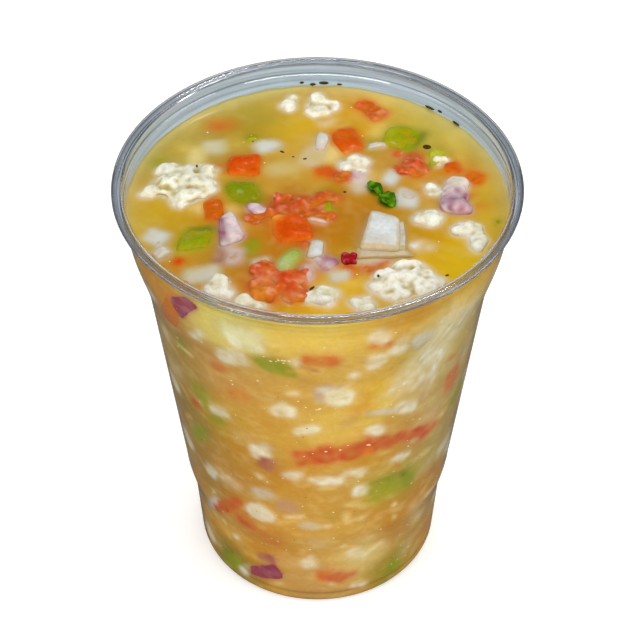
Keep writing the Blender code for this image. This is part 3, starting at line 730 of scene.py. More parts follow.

# ---------------------------------------------------------------------------------------------
# The tomato: ripe pulp torn as it was chopped, red-orange with some orange jelly, in soft lumps
# of 5 to 9 mm and one long strip that shows through the wall. Its pink highlights on crests and
# streaks are painted, and so is the shade in its creases.

TOMATO_SPANS = (0.55, 1.0, 1.2, 2.2, 1.3)
TOMATO_TEARS = (8.0, 2.4, TOMATO_SPANS, 0.5, 1.6)
TOMATO_RED, TOMATO_PINK, TOMATO_JELLY, TOMATO_HIGHLIGHT = "BA3806", "CC5A36", "DC760E", "E49C80"
TOMATO_CREASE_SHADE = "A82A04"
JELLY_IN_FRONT, JELLY_BEFORE = 0.35, -18.0  # the front cluster is mostly jelly
STREAK_LEAN, STREAK_LONG = 25.0, (0.45, 1.0, 0.8)  # the painted highlight and shade streaks across the pulp: degrees, and stretch
# x, y, radius, colour and share; the first six are painted pink highlights on the front cluster, the
# rest the pulp's own reds and jelly
TOMATO_SPOTS = (
    (-10.6, -26.4, 1.6, "F0A088", 0.6), (-8, -32.6, 1.3, "EE9A70", 0.6),
    (-4.4, -26.6, 1.4, "E87C60", 0.6), (-12.8, -27.6, 1.2, "F0AC90", 0.7),
    (-5.2, -31.8, 1.3, "F0A47C", 0.7), (-13.7, -25, 3, "D4604A", 0.6),
    (-6.6, -28.6, 4.6, "D43C06", 0.75), (-12.4, -31.4, 3.2, "EC9C2C", 0.7),
    (-10, -1.6, 5, "AE4026", 0.6), (-1, 0.6, 5, "B84C14", 0.6),
)
TOMATO_ON_TOP = (
    (-13.6, -3.4, 8.6, 4.6, 36, 0.9), (-8.6, 0, 8.6, 5.2, 24, 1.1), (-2.6, 1, 9.6, 5.2, 2, 0.9),
    (-9.6, -3.4, 6, 3.2, 14, 1.2), (-4.4, -2.8, 8.6, 4, -2, 1.2), (1.2, -3.4, 5.6, 3.6, -12, 0.9),
    (2.6, 3.4, 5, 5.4, 20, 0.6), (-12.4, -23.6, 7, 5.6, 34, 1.6), (-14.2, -27.6, 4.6, 4.4, 0, 1.7),
    (-7.4, -26.6, 7, 5.6, -30, 1.7), (-5.6, -30.6, 6.4, 6.6, -30, 1.7),
    (-11.6, -31.4, 7.2, 5.6, 12, 1.7), (-3.6, -25.4, 4, 6, 10, 1.1), (23.6, 15.2, 6, 8.6, 10, 1.3),
    (14, 37, 10.4, 4.6, -34, 0.5), (4.8, 11.6, 7, 4.6, -10, 0.4), (12.7, -21.8, 7.4, 4.2, 20, 0.1),
    (-2.4, -13.8, 3.6, 3, 0, 0.5), (-26, 4, 3, 5, 20, -0.6), (19.4, 20, 3.4, 3, 0, 0.2),
)
TOMATO_AT_WALL = (
    (-2, 64.4, 7.4, 5.4, 4, 0.2), (5, 65.4, 9, 6.8, 2, 0.08), (14, 66.4, 9, 6, 0, 0.15),
    (22, 66.6, 8, 5, 0, 0.1), (30, 65.6, 9, 4.6, -6, 0.1), (38.5, 63.8, 9, 4.2, -10, 0.15),
    (46, 61.6, 7, 3.4, -14, 0.3), (10.6, 11, 6.4, 4.4, 0, 0.3), (-32.6, 30.6, 6.4, 5, -40, 0.7),
    (-33.9, 91.8, 3.4, 3.8, 0, 0.8), (5, 103, 4, 4.4, 0, 0.9), (-20, 26, 7, 5, 0, 1.9),
)

parts = torn_pieces(draw, TOMATO_ON_TOP, TOMATO_AT_WALL, *TOMATO_TEARS)
points, faces = fused(parts)
points = roughened(smoothed(points, faces, 3), faces, ((2.4, 0.45), (1.1, 0.3)), 61, SOFT_AT_WALL)
crest = -hollowness(points, faces, 0.3)
# pinker on the crests: the pulp's own pink there, with painted highlight
pink = 0.25 + 0.7 * crest + 0.9 * ripple(points, 1.5, 63)
tint = mixed(linear(TOMATO_RED), linear(TOMATO_PINK), pink)
in_front = smooth_step((JELLY_BEFORE - points[:, 1]) / 4.0) * (points[:, 2] > JUICE_LEVEL - 2.0)
jelly = 1.6 * ripple(points, 2.6, 64) - 0.35 + JELLY_IN_FRONT * in_front
tint = touched(points, mixed(tint, linear(TOMATO_JELLY), jelly), TOMATO_SPOTS)
# a painted highlight on the highest crests
wet = 0.7 * smooth_step((crest - 0.5) / 0.4) * smooth_step(3.0 * ripple(points, 2.0, 65))
tint = mixed(tint, linear(TOMATO_HIGHLIGHT), wet)
# streaks of painted highlight and painted shade across the pulp, stronger on top and in front
streaks = moved(points, Matrix.Rotation(math.radians(STREAK_LEAN), 4, "Z")) * np.array(STREAK_LONG)
pulp = ripple(streaks, 1.2, 66)
painted_streaks = np.where(on_surface(points), 0.3 + 0.25 * in_front, 0.12)
tint = mixed(tint, linear(TOMATO_HIGHLIGHT), painted_streaks * smooth_step((pulp - 0.12) / 0.3))
tint = mixed(tint, linear(TOMATO_CREASE_SHADE), 0.6 * painted_streaks * smooth_step((-pulp - 0.1) / 0.3))
sunk.append((points, faces, tint))
# soft pulp full of juice: the glossiest piece, with light deep in it
finish = wet_flesh("chopped_tomato", roughness=0.1, glow=0.2, depth=1.5, grain=1.2, relief=0.1)
tomato = dressed("tomato", points, faces, soaked(points, tint, 0.8, 1.7), finish)
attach(tomato, "root")

# ---------------------------------------------------------------------------------------------
# The onion: white and red, cut across its layers, so each piece is a small stack of bent
# slices 1 to 1.5 mm thick. It is half clear: greyish white in the middle, tan at the edges
# where the juice shows through, and the red one has purple skin along one side.

WHITE_ONION_CUT, RED_ONION_CUT = (1.8, 3.4, 0.4, 0.22), (2.6, 5.0, 0.4, 0.22)
ONION_WHITE, ONION_EDGE = "CDD0CC", "B8A36E"
RED_PALE, RED_PURPLE, RED_AT_WALL = "D6C4C2", "8E4E66", "9C444E"

# x, y, length, width, turn, height over the juice, tip back, tip right
WHITE_ONION_ON_TOP = (
    (15, 22.9, 5.8, 1.8, 12, 0.6, 0, 0), (17.7, 10.9, 5.4, 7.4, -30, 0, 0, 0),
    (21.8, 2.8, 7, 7.8, -20, 0.1, 0, 0), (-26.6, -24.3, 10.4, 6.8, 14, -0.3, 0, 0),
    (-12.3, 23.4, 8.6, 5.6, 32, -0.2, 0, 0), (1, 24.4, 3.4, 8.4, -12, 0.8, 0, 0),
    (-0.6, 18.8, 7.8, 9.4, -20, -0.5, 0, 0), (-25.4, 22.4, 7.4, 6.4, 10, -0.6, 0, 0),
    (-38.4, -11.6, 6.6, 5.4, -30, -0.1, 0, 0), (-36.9, -16.9, 4.4, 4.6, -50, 0.5, 0, 0),
    (10.4, 8.4, 6, 6.4, 30, -0.3, 0, 0), (-0.4, -15.8, 3.6, 7, -8, 0.8, 0, 0),
    (-13.4, -20.6, 4.6, 3.8, 10, 0.3, 0, 0), (0.4, -5.6, 4.6, 1.6, -24, 0.6, 0, 0),
    (5.6, -24.6, 6.4, 4.6, 20, -0.3, 0, 0), (-9, 14, 10.4, 7, 20, -1.4, 0, 0),
    (13, -19.6, 12, 5, -6, -0.3, 0, 0),
)
# the thick piece on the right: its top layer, the edges of two lower ones on its right and the
# flare at its foot. Corners from the near left round to the far left, then height, depth and bend
ONION_CHUNK = (
    ((9.8, -17), (19.2, -17.8), (19.8, -6.2), (12.7, -3.4), 2.2, 4, 0.4),
    ((18.8, -17.4), (20.6, -17.2), (20.7, -6.8), (19.4, -6.4), 1.6, 3.6, 0),
    ((8.4, -19.4), (22.8, -18.8), (20.8, -15.8), (9.4, -16), 1, 2.6, 0.2),
)
WHITE_ONION_SPOTS = (
    (15.2, -11, 3.6, "DCE2E6", 0.7), (20.4, -12, 1.2, "B2A8A0", 0.7), (14, -17.6, 5, "C8B090", 0.5),
    (-13.4, -20.6, 3, "C6AE7C", 0.7), (0.4, -5.6, 3, "E4A890", 0.6), (10.4, 8.4, 4, "D2BEB4", 0.7),
    (-0.6, 18.8, 6, "C8B296", 0.6),
)
CHUNK_TAN = (0.0, 0.5, 0.6)  # how tan each of the thick piece's layers is
# the folded lump of red onion at the right: its pale far lobe, then its purple folds
RED_LUMP = (
    ((30, 3.8), (36.4, 3.4), (37, 9.8), (31, 10.4), 1.6, 3.2, 0.4),
    ((29.4, 0.2), (36.6, 0.8), (35.6, 5), (30, 4.6), 2.3, 3, 0.3),
    ((30.2, -3.2), (37.4, -3.6), (36.8, 1.4), (29.2, 1.6), 2.2, 3.4, 0.5),
)
# x, y, radius, colour and share; the one at 34.6, -3.4 is a painted pink glint
RED_ONION_SPOTS = (
    (-24, -9.6, 2.3, "8E4054", 0.8), (-19.6, -8.8, 2.4, "D8C6CA", 0.7),
    (-14.6, -1.4, 3.2, "D2BAC2", 0.8), (3, -19.9, 2.8, "A87090", 0.6),
    (33.8, 8.4, 3.4, "D6CEB8", 0.9), (33, 0.8, 2.8, "8E6278", 0.6),
    (34.6, -3.4, 1.6, "B8808E", 0.6), (-2.6, -24.4, 3, "D0A0A0", 0.6),
    (-20.7, -18, 4, "A8866E", 0.5),
)
RED_ONION_WALL_SPOTS = (
    (-12.2, 42.4, 6, "B79AA0", 0.8), (2.6, 90, 6, "C8B4B8", 0.8), (-24.4, 14, 5, "8E3A50", 0.7),
)
RED_ONION_ON_TOP = (
    (-21, -9.1, 5.8, 8.6, 12, 1.1, 0, 0), (2.3, -19.9, 4, 5.4, 220, 0.5, 0, 0),
    (-20.7, -18, 8, 5.4, -4, -0.2, 0, 0), (-14.6, -1.4, 4.4, 4.4, 20, 0.9, 0, 0),
    (9.6, 12.6, 4.4, 5.6, -20, 0, 0, 0), (-2.6, -24.4, 2.6, 5.4, 0, 0.2, 0, 0),
)
# angle, height, length, width, turn, depth behind the juice's skin
WHITE_ONION_AT_WALL = (
    (-22, 109.6, 12, 6, 0, 1.1), (3, 89.4, 6, 6.4, 0, 0.7), (-21.9, 46.3, 6.4, 5.4, -20, 0.7),
    (-3.1, 35.5, 6.4, 3.6, 0, 1), (33, 104, 6.4, 7, 60, 0.4), (24, 78.6, 9, 2.6, 16, 0.3),
    (-19.6, 66, 4, 3.8, 0, 0.8), (-53, 28, 2.6, 15, 34, 0.2),
)
RED_ONION_AT_WALL = (
    (-40.8, 111.4, 9.6, 4.6, -42, -0.4), (-24.4, 16.4, 5.4, 3.6, 0, 0.5),
    (-25.6, 10.4, 9, 5.6, -30, -0.2), (-19, 58.8, 4.4, 4, 20, 0.4), (-12.2, 42.4, 4.4, 4.6, 0, 1.2),
    (2.6, 90, 3.4, 5.6, 0, 0.8),
)


def slabs(rows, cuts, power):
    """Cut slabs from their four corners at the surface, with each point's place in its slab."""
    parts = []
    for near_left, near_right, far_right, far_left, proud, deep, bend in rows:
        shape, faces = block(cuts, power)
        u, v = shape[:, :1] + 0.5, shape[:, 1:2] + 0.5
        near = np.array(near_left) * (1.0 - u) + np.array(near_right) * u
        far = np.array(far_left) * (1.0 - u) + np.array(far_right) * u
        rise = proud - 0.5 * deep + deep * shape[:, 2] + bend * (0.5 - 4.0 * shape[:, 0] ** 2)
        placed = np.column_stack([near * (1.0 - v) + far * v, JUICE_LEVEL + rise])
        parts.append((kept_in(placed, 0.5), faces, shape))
    return merged(parts)


pieces = diced(draw, WHITE_ONION_ON_TOP, WHITE_ONION_AT_WALL, *WHITE_ONION_CUT)
points, faces, own = merged([pieces, slabs(ONION_CHUNK, 16, 10.0)])
points = roughened(points, faces, ((4.0, 0.4), (1.6, 0.08)), 71, SOFT_AT_WALL)
rim = np.max(np.abs(own[:, :2]), axis=1)
layers = np.abs(np.sin(own[:, 0] * 3.0 * np.pi)) ** 8
edge = 0.9 * smooth_step((rim - 0.3) / 0.2) + 0.15 * layers + 0.4 * ripple(points, 2.2, 72)
in_chunk = np.arange(len(points)) - len(pieces[0])
layer = np.maximum(in_chunk // ((len(points) - len(pieces[0])) // len(ONION_CHUNK)), -1)
tanned = np.array(CHUNK_TAN)[layer] + 0.8 * smooth_step((rim - 0.36) / 0.1)
edge = np.where(layer >= 0, tanned + 0.3 * ripple(points, 2.6, 75), edge)
tint = touched(points, mixed(linear(ONION_WHITE), linear(ONION_EDGE), edge), WHITE_ONION_SPOTS)
sunk.append((points, faces, tint))
# thin wet layers, half clear, so light goes far into them
finish = wet_flesh("white_onion", roughness=0.16, glow=0.3, depth=1.8, grain=1.0, relief=0.05)
white_onion = dressed("white_onion", points, faces, soaked(points, tint), finish)
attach(white_onion, "root")

pieces = diced(draw, RED_ONION_ON_TOP, RED_ONION_AT_WALL, *RED_ONION_CUT)
points, faces, own = merged([pieces, slabs(RED_LUMP, 12, 2.8)])
points = roughened(points, faces, ((3.0, 0.6), (1.5, 0.22)), 73)
lump = np.arange(len(points)) >= len(pieces[0])
folds = 0.8 * smooth_step((6.0 - points[:, 1]) / 7.0)
purple = np.where(lump, folds, smooth_step((-own[:, 0] - 0.02) / 0.22))
purple = purple + 0.25 * np.sin(own[:, 1] * 5.0 * np.pi) ** 2 * ~lump
purple = purple + 0.5 * (points[:, 2] < JUICE_LEVEL - 2.0)
purple = 0.75 * purple + 0.9 * ripple(points, 1.8, 74)
tint = mixed(linear(RED_PALE), linear(RED_PURPLE), purple)
tint = mixed(tint, linear(ONION_WHITE), 0.9 * ripple(points, 2.4, 76))
pressed = (0.85 + 0.4 * ripple(points, 3.0, 77)) * ~on_surface(points)
tint = mixed(tint, linear(RED_AT_WALL), pressed)
tint = touched_at_wall(points, tint, RED_ONION_WALL_SPOTS)
tint = touched(points, tint, RED_ONION_SPOTS)
sunk.append((points, faces, tint))
# the same layers, with less light in them where they are purple
finish = wet_flesh("red_onion", roughness=0.16, glow=0.2, depth=1.5, grain=1.0, relief=0.05)
red_onion = dressed("red_onion", points, faces, soaked(points, tint), finish)
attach(red_onion, "root")

# ---------------------------------------------------------------------------------------------
# The small things on top: one torn green herb leaf, one flake of red chilli, and cracked
# pepper and herb specks that float or cling to the wall.

LEAF_GREEN, LEAF_DARK, SPECK_BROWN = "68980E", "2E5800", "3A3410"
CHILLI_RED, CHILLI_GLINT = "960616", "D86878"
LEAF_ROWS, LEAF_COLUMNS, LEAF_THICK = 26, 18, 0.3
LEAF_FOLD, LEAF_CURL = 0.35, 0.5
# x, y, length, width, turn, height and seed of the leaf's two lobes
LEAF_LOBES = ((13.9, 5.8, 5.4, 2.6, 40, 1.0, 82), (16.8, 1.8, 6.0, 3.8, 30, 0.9, 85))
# x, y, length, width, turn
CHILLI_LUMPS = (
    (7.1, -19.5, 2.9, 3.3, 30), (8.2, -18.9, 2.2, 2, -20), (7.8, -20.4, 2.2, 1.6, 10),
)
SPECKS_AT_WALL, SPECK_SPAN = 90, (0.3, 0.7)
LOWEST_SPECK, HIGHEST_SPECK = 6.0, JUICE_LEVEL - 2.0
# dark flecks on the wall just over the juice at the back: angle, height, length, height
SMUDGES = (
    (178, 113.6, 2.6, 1), (-178.5, 113.2, 1.6, 0.8), (-175, 113.8, 1.2, 0.7),
    (173, 113.4, 1.4, 0.6), (142, 113.2, 3, 0.8), (138, 113.6, 1.4, 0.7), (131, 113, 2.6, 0.7),
)


def leaf(length, width, seed):
    """A small torn leaf, folded along its middle, and closed."""
    spans = np.linspace(0.02, 0.98, LEAF_ROWS), np.linspace(-1.0, 1.0, LEAF_COLUMNS)
    t, v = (grid.ravel() for grid in np.meshgrid(*spans, indexing="ij"))
    half = 0.5 * width * np.sin(np.pi * t) ** 0.6
    high = LEAF_FOLD * np.abs(v) * half - LEAF_CURL * (2.0 * t - 1.0) ** 2
    top = np.column_stack([v * half, (t - 0.5) * length, high])
    top[:, 2] += 0.9 * ripple(top, 1.4, seed)
    under = top - np.array([0.0, 0.0, LEAF_THICK])
    points, faces = thick_sheet(top, under, LEAF_ROWS, LEAF_COLUMNS)
    shade = 0.5 + 1.4 * ripple(points, 1.3, seed + 1) + 0.3 * np.abs(np.tile(v, 2))
    return points, faces, mixed(linear(LEAF_GREEN), linear(LEAF_DARK), shade)


parts = []
for x, y, length, width, turn, high, seed in LEAF_LOBES:
    shape, faces, tint = leaf(length, width, seed)
    place = Matrix.Translation((x, y, JUICE_LEVEL + high))
    place = place @ Matrix.Rotation(math.radians(turn), 4, "Z")
    parts.append((moved(shape, place), faces, tint))
sunk.append(merged(parts))
# a thin leaf, bright where it is wet
finish = wet_flesh("herb_leaf", roughness=0.15, glow=0.1, depth=0.5, grain=0.7, relief=0.08)
herb = dressed("herb_leaf", *sunk[-1], finish)
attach(herb, "root")

parts = []
for row in CHILLI_LUMPS:
    shape, faces = cut_piece(draw, 5, 3.0, 0.8, 0.2)
    parts.append((moved(shape, at_surface(*row, 1.2, 1.4)), faces))
points, faces, _ = merged(parts)
points = roughened(points, faces, ((1.4, 0.7),), 86)
# painted pink glints in patches over the dark red
tint = mixed(linear(CHILLI_RED), linear(CHILLI_GLINT), 1.6 * ripple(points, 1.2, 87) - 0.4)
# glossy and dense, with no light in it
finish = wet_flesh("red_chilli", roughness=0.12, glow=0.0, depth=0.5, grain=0.8, relief=0.05)
chilli = dressed("red_chilli", points, faces, tint, finish)
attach(chilli, "root")

# x, y, length, width, turn
MARKED_SPECKS = (
    (-3.1, 17.8, 1.4, 0.8, 20), (27.1, 22.5, 2.4, 2, -20), (-1.4, -29.4, 1, 2.6, -40),
    (1.6, -29.2, 1.2, 0.7, 10), (44, 3.7, 1, 1, 0), (43, -6.2, 1.4, 1.8, 0),
    (24, 26.2, 0.8, 0.8, 0), (6.6, 5.2, 0.9, 0.8, 0), (-29.4, 12.6, 0.6, 0.9, 0),
    (14, -27.2, 0.7, 0.8, 0), (-8.8, 20.6, 1.6, 0.8, -30), (-12.6, -19.4, 1.8, 0.6, 10),
    (-16, 24.6, 1, 0.6, 40), (-6, 18.6, 0.8, 0.5, 0), (30, -24.8, 1.2, 0.7, 30),
)
ON_THE_CONCH = ((-29.4, 12.6), (14.0, -27.2))  # x and y of the two specks that lie on it
SPECK_ON_CONCH, SPECK_AFLOAT = 2.4, 0.25  # height over the juice


def any_place_at_wall(draw):
    """An angle and a height anywhere in the juice."""
    return draw.uniform(-180.0, 180.0), draw.uniform(LOWEST_SPECK, HIGHEST_SPECK)


def painted(points, code):
    """One colour for every point."""
    return np.tile(linear(code)[:3], (len(points), 1))


parts = []
shape, faces = ball(2)
for row in MARKED_SPECKS:
    high = SPECK_ON_CONCH if row[:2] in ON_THE_CONCH else SPECK_AFLOAT
    parts.append((moved(shape, at_surface(*row, high, 0.6)), faces))
for row in SMUDGES:
    parts.append((set_in(shape, at_wall(*row, 0, 0.0, 0.5), SKIN_IN_WALL), faces))
for _ in range(SPECKS_AT_WALL):
    size = draw.uniform(*SPECK_SPAN)
    place = at_wall(*any_place_at_wall(draw), size, size * draw.uniform(0.5, 1.0), 0, 0.0, size)
    parts.append((set_in(shape, place, -POKES_PAST_SKIN), faces))
points, faces, _ = merged(parts)
# dry husk, so it is matt
finish = wet_flesh("cracked_pepper", roughness=0.4, glow=0.0, depth=0.5, grain=0.5, relief=0.05)
specks = dressed("pepper_specks", points, faces, painted(points, SPECK_BROWN), finish)
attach(specks, "root")

# ---------------------------------------------------------------------------------------------
# The pieces that lie wholly in the juice, all round: they show only as soft patches of colour
# through its cloudy skin, so they are laid out here and shown by the juice's own colour.

HIDDEN_COLUMNS, HIDDEN_ROWS, HIDDEN_ON_TOP = 22, 11, 66
HIDDEN_FROM, HIDDEN_TO, HIDDEN_JITTER = 6.0, JUICE_LEVEL - 3.0, 0.35
HIDDEN_WITHIN = 42.0  # of the axis, for those under the surface
# where the juice is clear from above: x, y, radius
CLEAR_SPOTS = (
    (8, -4, 9), (-6, -6, 12), (27, -12, 5), (33, -20, 8), (-34, -5, 8), (28, -1, 4), (-10, 36, 6),
)
FRONT_HALF, DEEPER_IN_FRONT = 62.0, 2.2  # degrees each way, and how much deeper they lie there
CLEAR_OF_MARKED = 3.0  # least gap to the pieces at the wall
FIBRES, FIBRE_CODES = 260, ("F0E2A8", "E9D79A", "F3EBCB", "E2B860", "C87A3A")
# colour, chance, length, width
HIDDEN_KINDS = (
    ("F0ECD6", 0.40, (5, 9), (4, 6.5)), ("DDD6C0", 0.18, (5, 9), (3, 6)),
    ("C9481C", 0.13, (4, 9), (3, 5)), ("D64A06", 0.08, (4, 8), (4, 7)),
    ("8F9A10", 0.13, (4, 8.5), (4, 7.5)), ("9A5560", 0.08, (3, 6), (3, 5)),
)


def hidden_kind(draw):
    """One kind drawn by its chance."""
    left = draw.random() * sum(kind[1] for kind in HIDDEN_KINDS)
    for kind in HIDDEN_KINDS:
        left -= kind[1]
        if left <= 0.0:
            return kind
    return HIDDEN_KINDS[0]


def hidden(draw, place):
    """A sunk piece's form and colour; place gives its matrix from its length and width."""
    code, _, lengths, widths = hidden_kind(draw)
    shape, faces = block(4, draw.uniform(2.2, 5.0))
    matrix = place(draw.uniform(*lengths), draw.uniform(*widths))
    points = set_in(shape, matrix, 0.25)
    return points, faces, painted(points, code)


# threads of torn flesh and pulp close behind the wall
shape, faces = block(2, 2.4)
for _ in range(FIBRES):
    place = any_place_at_wall(draw)
    size = draw.uniform(1.5, 7.0), draw.uniform(0.8, 1.8)
    lie = draw.gauss(0.0, 35.0), draw.uniform(0.1, 2.2)
    points = set_in(shape, at_wall(*place, *size, *lie, 1.0), 0.1)
    sunk.append((points, faces, painted(points, draw.choice(FIBRE_CODES))))

marked = CONCH_AT_WALL + ORANGE_AT_WALL + GREEN_AT_WALL + TOMATO_AT_WALL
marked = [(*row[:2], max(row[2:4])) for row in marked + WHITE_ONION_AT_WALL + RED_ONION_AT_WALL]
for column in range(HIDDEN_COLUMNS):
    for level in range(HIDDEN_ROWS):
        round_to = column + 0.5 * (level % 2) + draw.uniform(-HIDDEN_JITTER, HIDDEN_JITTER)
        angle = 360.0 * round_to / HIDDEN_COLUMNS - 180.0
        up = (level + 0.5 + draw.uniform(-HIDDEN_JITTER, HIDDEN_JITTER)) / HIDDEN_ROWS
        height = HIDDEN_FROM + (HIDDEN_TO - HIDDEN_FROM) * up
        turn, behind = draw.uniform(-60.0, 60.0), draw.uniform(0.1, 2.4)
        behind += DEEPER_IN_FRONT if abs(angle) < FRONT_HALF else 0.0
        arc = math.radians(1.0) * float(skin_radius(height))
        gaps = (math.hypot((angle - a) * arc, height - h) - 0.4 * size for a, h, size in marked)
        if min(gaps) > CLEAR_OF_MARKED:
            sunk.append(hidden(draw, lambda l, w: at_wall(angle, height, l, w, turn, behind, 3.5)))
for _ in range(HIDDEN_ON_TOP):
    away, turn = HIDDEN_WITHIN * math.sqrt(draw.random()), draw.uniform(0.0, 2.0 * math.pi)
    x, y, under = away * math.cos(turn), away * math.sin(turn), draw.uniform(0.8, 3.4)
    if any(math.hypot(x - a, y - b) < radius for a, b, radius in CLEAR_SPOTS):
        continue
    spin = math.degrees(turn * 3.0)
    sunk.append(hidden(draw, lambda l, w: at_surface(x, y, l, w, spin, -under, 3.0)))

# ---------------------------------------------------------------------------------------------
# The juice: lime, orange and tomato juice, cloudy and golden, up to about 8 mm under the rim.
# It wets the wall, so its edge climbs it a little and no air shows behind the plastic, and it
# climbs the pieces that break its surface. Pieces just under its skin tint it.

WALL_CLIMB, WALL_CLIMB_OVER = 1.1, 1.1  # height at the wall, and how fast it dies away
FRONT_FILM, FILM_HALF_ANGLE, FILM_FADES_DOWN = 4.6, 98.0, 8.0  # in front it clings up to the bead
FILM_RAGGED = 0.5
PIECE_CLIMB, PIECE_CLIMB_OVER = 0.22, 0.9
SIDE_SEGMENTS = 448
SIDE_ROWS = 150
TOP_STEP = 0.6
JUICE_CLEAR, JUICE_CLOUDY, JUICE_EDGE = "C48C14", "CDA644", "AEA870"
# where the juice is clearer or cloudier: x, y, radius, colour on top
CLOUDS_ON_TOP = (
    (-38, 20, 9, "A2902E"), (-29, 22, 7, "A8925C"), (-33, -4, 10, "C29E22"),
    (-18, 35, 11, "A08E38"), (-3, 30, 7, "D2A41E"), (8, 31, 7, "CC9426"), (33, 27, 11, "B0A250"),
    (41, 2, 7, "CCA42E"), (38, -12, 7, "D0A820"), (33, -21, 9, "E6BE10"), (8, -3, 9, "B26C06"),
    (27, -12, 7, "C48C0C"), (4, -35, 9, "E2AE1C"), (-25, -19, 9, "B07C28"), (-8, -5, 11, "B25A0C"),
    (-10, -25, 8, "BE600A"), (-26, -3, 6, "BA7818"), (34, 13, 6, "C67A18"), (19, 18, 7, "BC8A4A"),
    (-9, 13, 8, "C09648"), (28, 12, 6, "C88614"), (-24, -8, 7, "C09420"), (-2, 22, 6, "C8A050"),
)
# angle, height, radius, colour at the wall
CLOUDS_AT_WALL = (
    (0, 112, 9, "DEC861"), (-30, 112, 9, "D4CD73"), (-23, 109, 5, "DEDD89"), (10, 98, 9, "D2AF53"),
    (-28, 90, 9, "C19B51"), (-10, 92, 9, "C9A34D"), (22, 85, 7, "D2AF2A"), (20.6, 81, 5, "D6B420"),
    (-15, 72, 9, "C9A141"), (8, 78, 8, "D6B859"), (-30, 64, 8, "BC8A18"), (-38.6, 69, 5, "AA950E"),
    (-36, 50, 9, "B4822E"), (5, 45, 10, "C49B45"), (35, 70, 8, "BF9645"), (43, 66, 5, "C29F6D"),
    (38, 31, 7, "BB840C"), (49.6, 36, 6, "B88016"), (-22.6, 27, 8, "C1882C"),
    (10, 30, 10, "C89F47"), (0, 8, 9, "BC9455"), (-45, 92, 8, "B38E45"), (-34, 92, 4, "BA823B"),
    (40, 98, 9, "C2B457"), (50, 110, 7, "CDAB2E"), (29, 47, 7, "B0A72E"), (38, 45, 4, "9DA112"),
    (-53, 62, 10, "957D2E"), (-54, 84, 9, "A18A41"), (-50, 42, 8, "9D7D31"), (-44, 7, 6, "7B711C"),
    (37, 8, 6, "8F8814"), (20, 18, 7, "D2C07D"), (52, 100, 8, "D2C27C"), (56, 80, 12, "AA9B61"),
    (58, 50, 12, "A59459"), (52, 20, 8, "AA8C4D"), (-12, 36, 8, "CEA345"),
)
# the unseen back has clouds of the front's colours, in columns and rows
BACK_CLOUDS = ("D2AF53", "C49B45", "D6B859", "C1923A")
BACK_FROM, BACK_STEP, BACK_COLUMNS = 96.0, 24.0, 8  # degrees
BACK_LOW, BACK_RISE, BACK_RADIUS, BACK_ROWS = 13.0, 23.0, 12.0, 5
JUICE_PULP, JUICE_AMBER, JUICE_HEEL_SHADE = "DDC67C", "B87618", "7E5A34"
BASE_LINE = 4.6  # height of the painted line of dark shade where the wall's juice ends over the base's ring
CLOUD_PULL = 4.0  # how much more a cloud's colour counts at its middle than the juice's own
# from above and at the side: how far outside its skin the rays that look into the juice start,
# the depth at which a piece keeps 37% of its colour, and the light lost in each millimetre
RAYS_FROM_TOP, RAYS_FROM_SIDE = 3.0, 1.8
SEE_DOWN, SEE_IN = 1.8, 1.7
TOP_YELLOWING, SIDE_YELLOWING = np.array((0.03, 0.14, 0.7)), np.array((0.0, 0.0, 0.05))
SEEN_FROM_ABOVE = np.array((0.97, 0.99, 0.62))  # it is a purer yellow than the film at the wall
SIDE_HAZE = 0.8  # share of a piece's colour that shows through the film of juice at the wall
HALO = 0.32  # share of a piece's colour that spreads some millimetres out into the juice
NARROW_CONE, WIDE_CONE = (10, 0.34), (8, 1.1)  # rays and spread
RAY_REACH, RAY_TURN = 12.0, 2.4  # how far each goes, and radians from one to the next
CLIMB_RIPPLE = 0.06  # height of the surface's faint waves
PULP_THREADS = 420.0  # in a metre, so each is about 2.4 mm across
JUICE_GLOW, JUICE_DEPTH = 0.15, 2.0  # share of the light that scatters in it, and how far


def juice_profile():
    """Outline from the middle of the surface, out to the wall, down it and in along the base."""
    edge = float(skin_radius(JUICE_LEVEL + WALL_CLIMB))
    rings = np.arange(edge, 1.0, -TOP_STEP)[::-1]
    climb = WALL_CLIMB * np.exp((rings - edge) / WALL_CLIMB_OVER)
    top = [(0.0, JUICE_LEVEL)] + list(zip(rings, JUICE_LEVEL + climb))
    halvings = [sum(r <= edge / part for part in (2, 4, 8)) for r in rings]
    counts = [SIDE_SEGMENTS // 2**times for times in halvings]
    heights = np.linspace(JUICE_LEVEL + WALL_CLIMB, HEEL_RADIUS, SIDE_ROWS)[1:]
    side = list(zip(skin_radius(heights), heights))
    under = offset(np.array(base_path()), 0.5 * SHEET - SKIN_IN_WALL)[::-1][1:]
    profile = top + side + [tuple(point) for point in under]
    return profile, counts + [SIDE_SEGMENTS] * (len(profile) - 2 - len(counts)), len(top)


def clinging(points, top_count):
    """The juice's points with its film drawn up the wall: far in front, raggedly elsewhere."""
    angle = np.degrees(np.abs(np.arctan2(points[:, 0], -points[:, 1])))
    level = points * np.array([1.0, 1.0, 0.0])
    rise = FRONT_FILM * smooth_step((FILM_HALF_ANGLE + 14.0 * ripple(level, 7.0, 89) - angle) / 55.0)
    rise = rise + FILM_RAGGED * np.abs(ripple(level, 6.0, 90))
    height = points[:, 2]
    radius = np.hypot(points[:, 0], points[:, 1])
    edge = float(skin_radius(JUICE_LEVEL + WALL_CLIMB))
    fades_at = JUICE_LEVEL + WALL_CLIMB - FILM_FADES_DOWN
    on_top = np.arange(len(points)) < top_count
    at_edge = np.where(on_top, radius > edge - 0.3, height > fades_at)
    share = np.where(on_top, 1.0, (height - fades_at) / FILM_FADES_DOWN)
    lifted = np.where(at_edge, height + rise * share, height)
    scale = np.where(at_edge, skin_radius(lifted) / np.maximum(radius, 1e-6), 1.0)
    return np.column_stack([points[:, 0] * scale, points[:, 1] * scale, lifted])


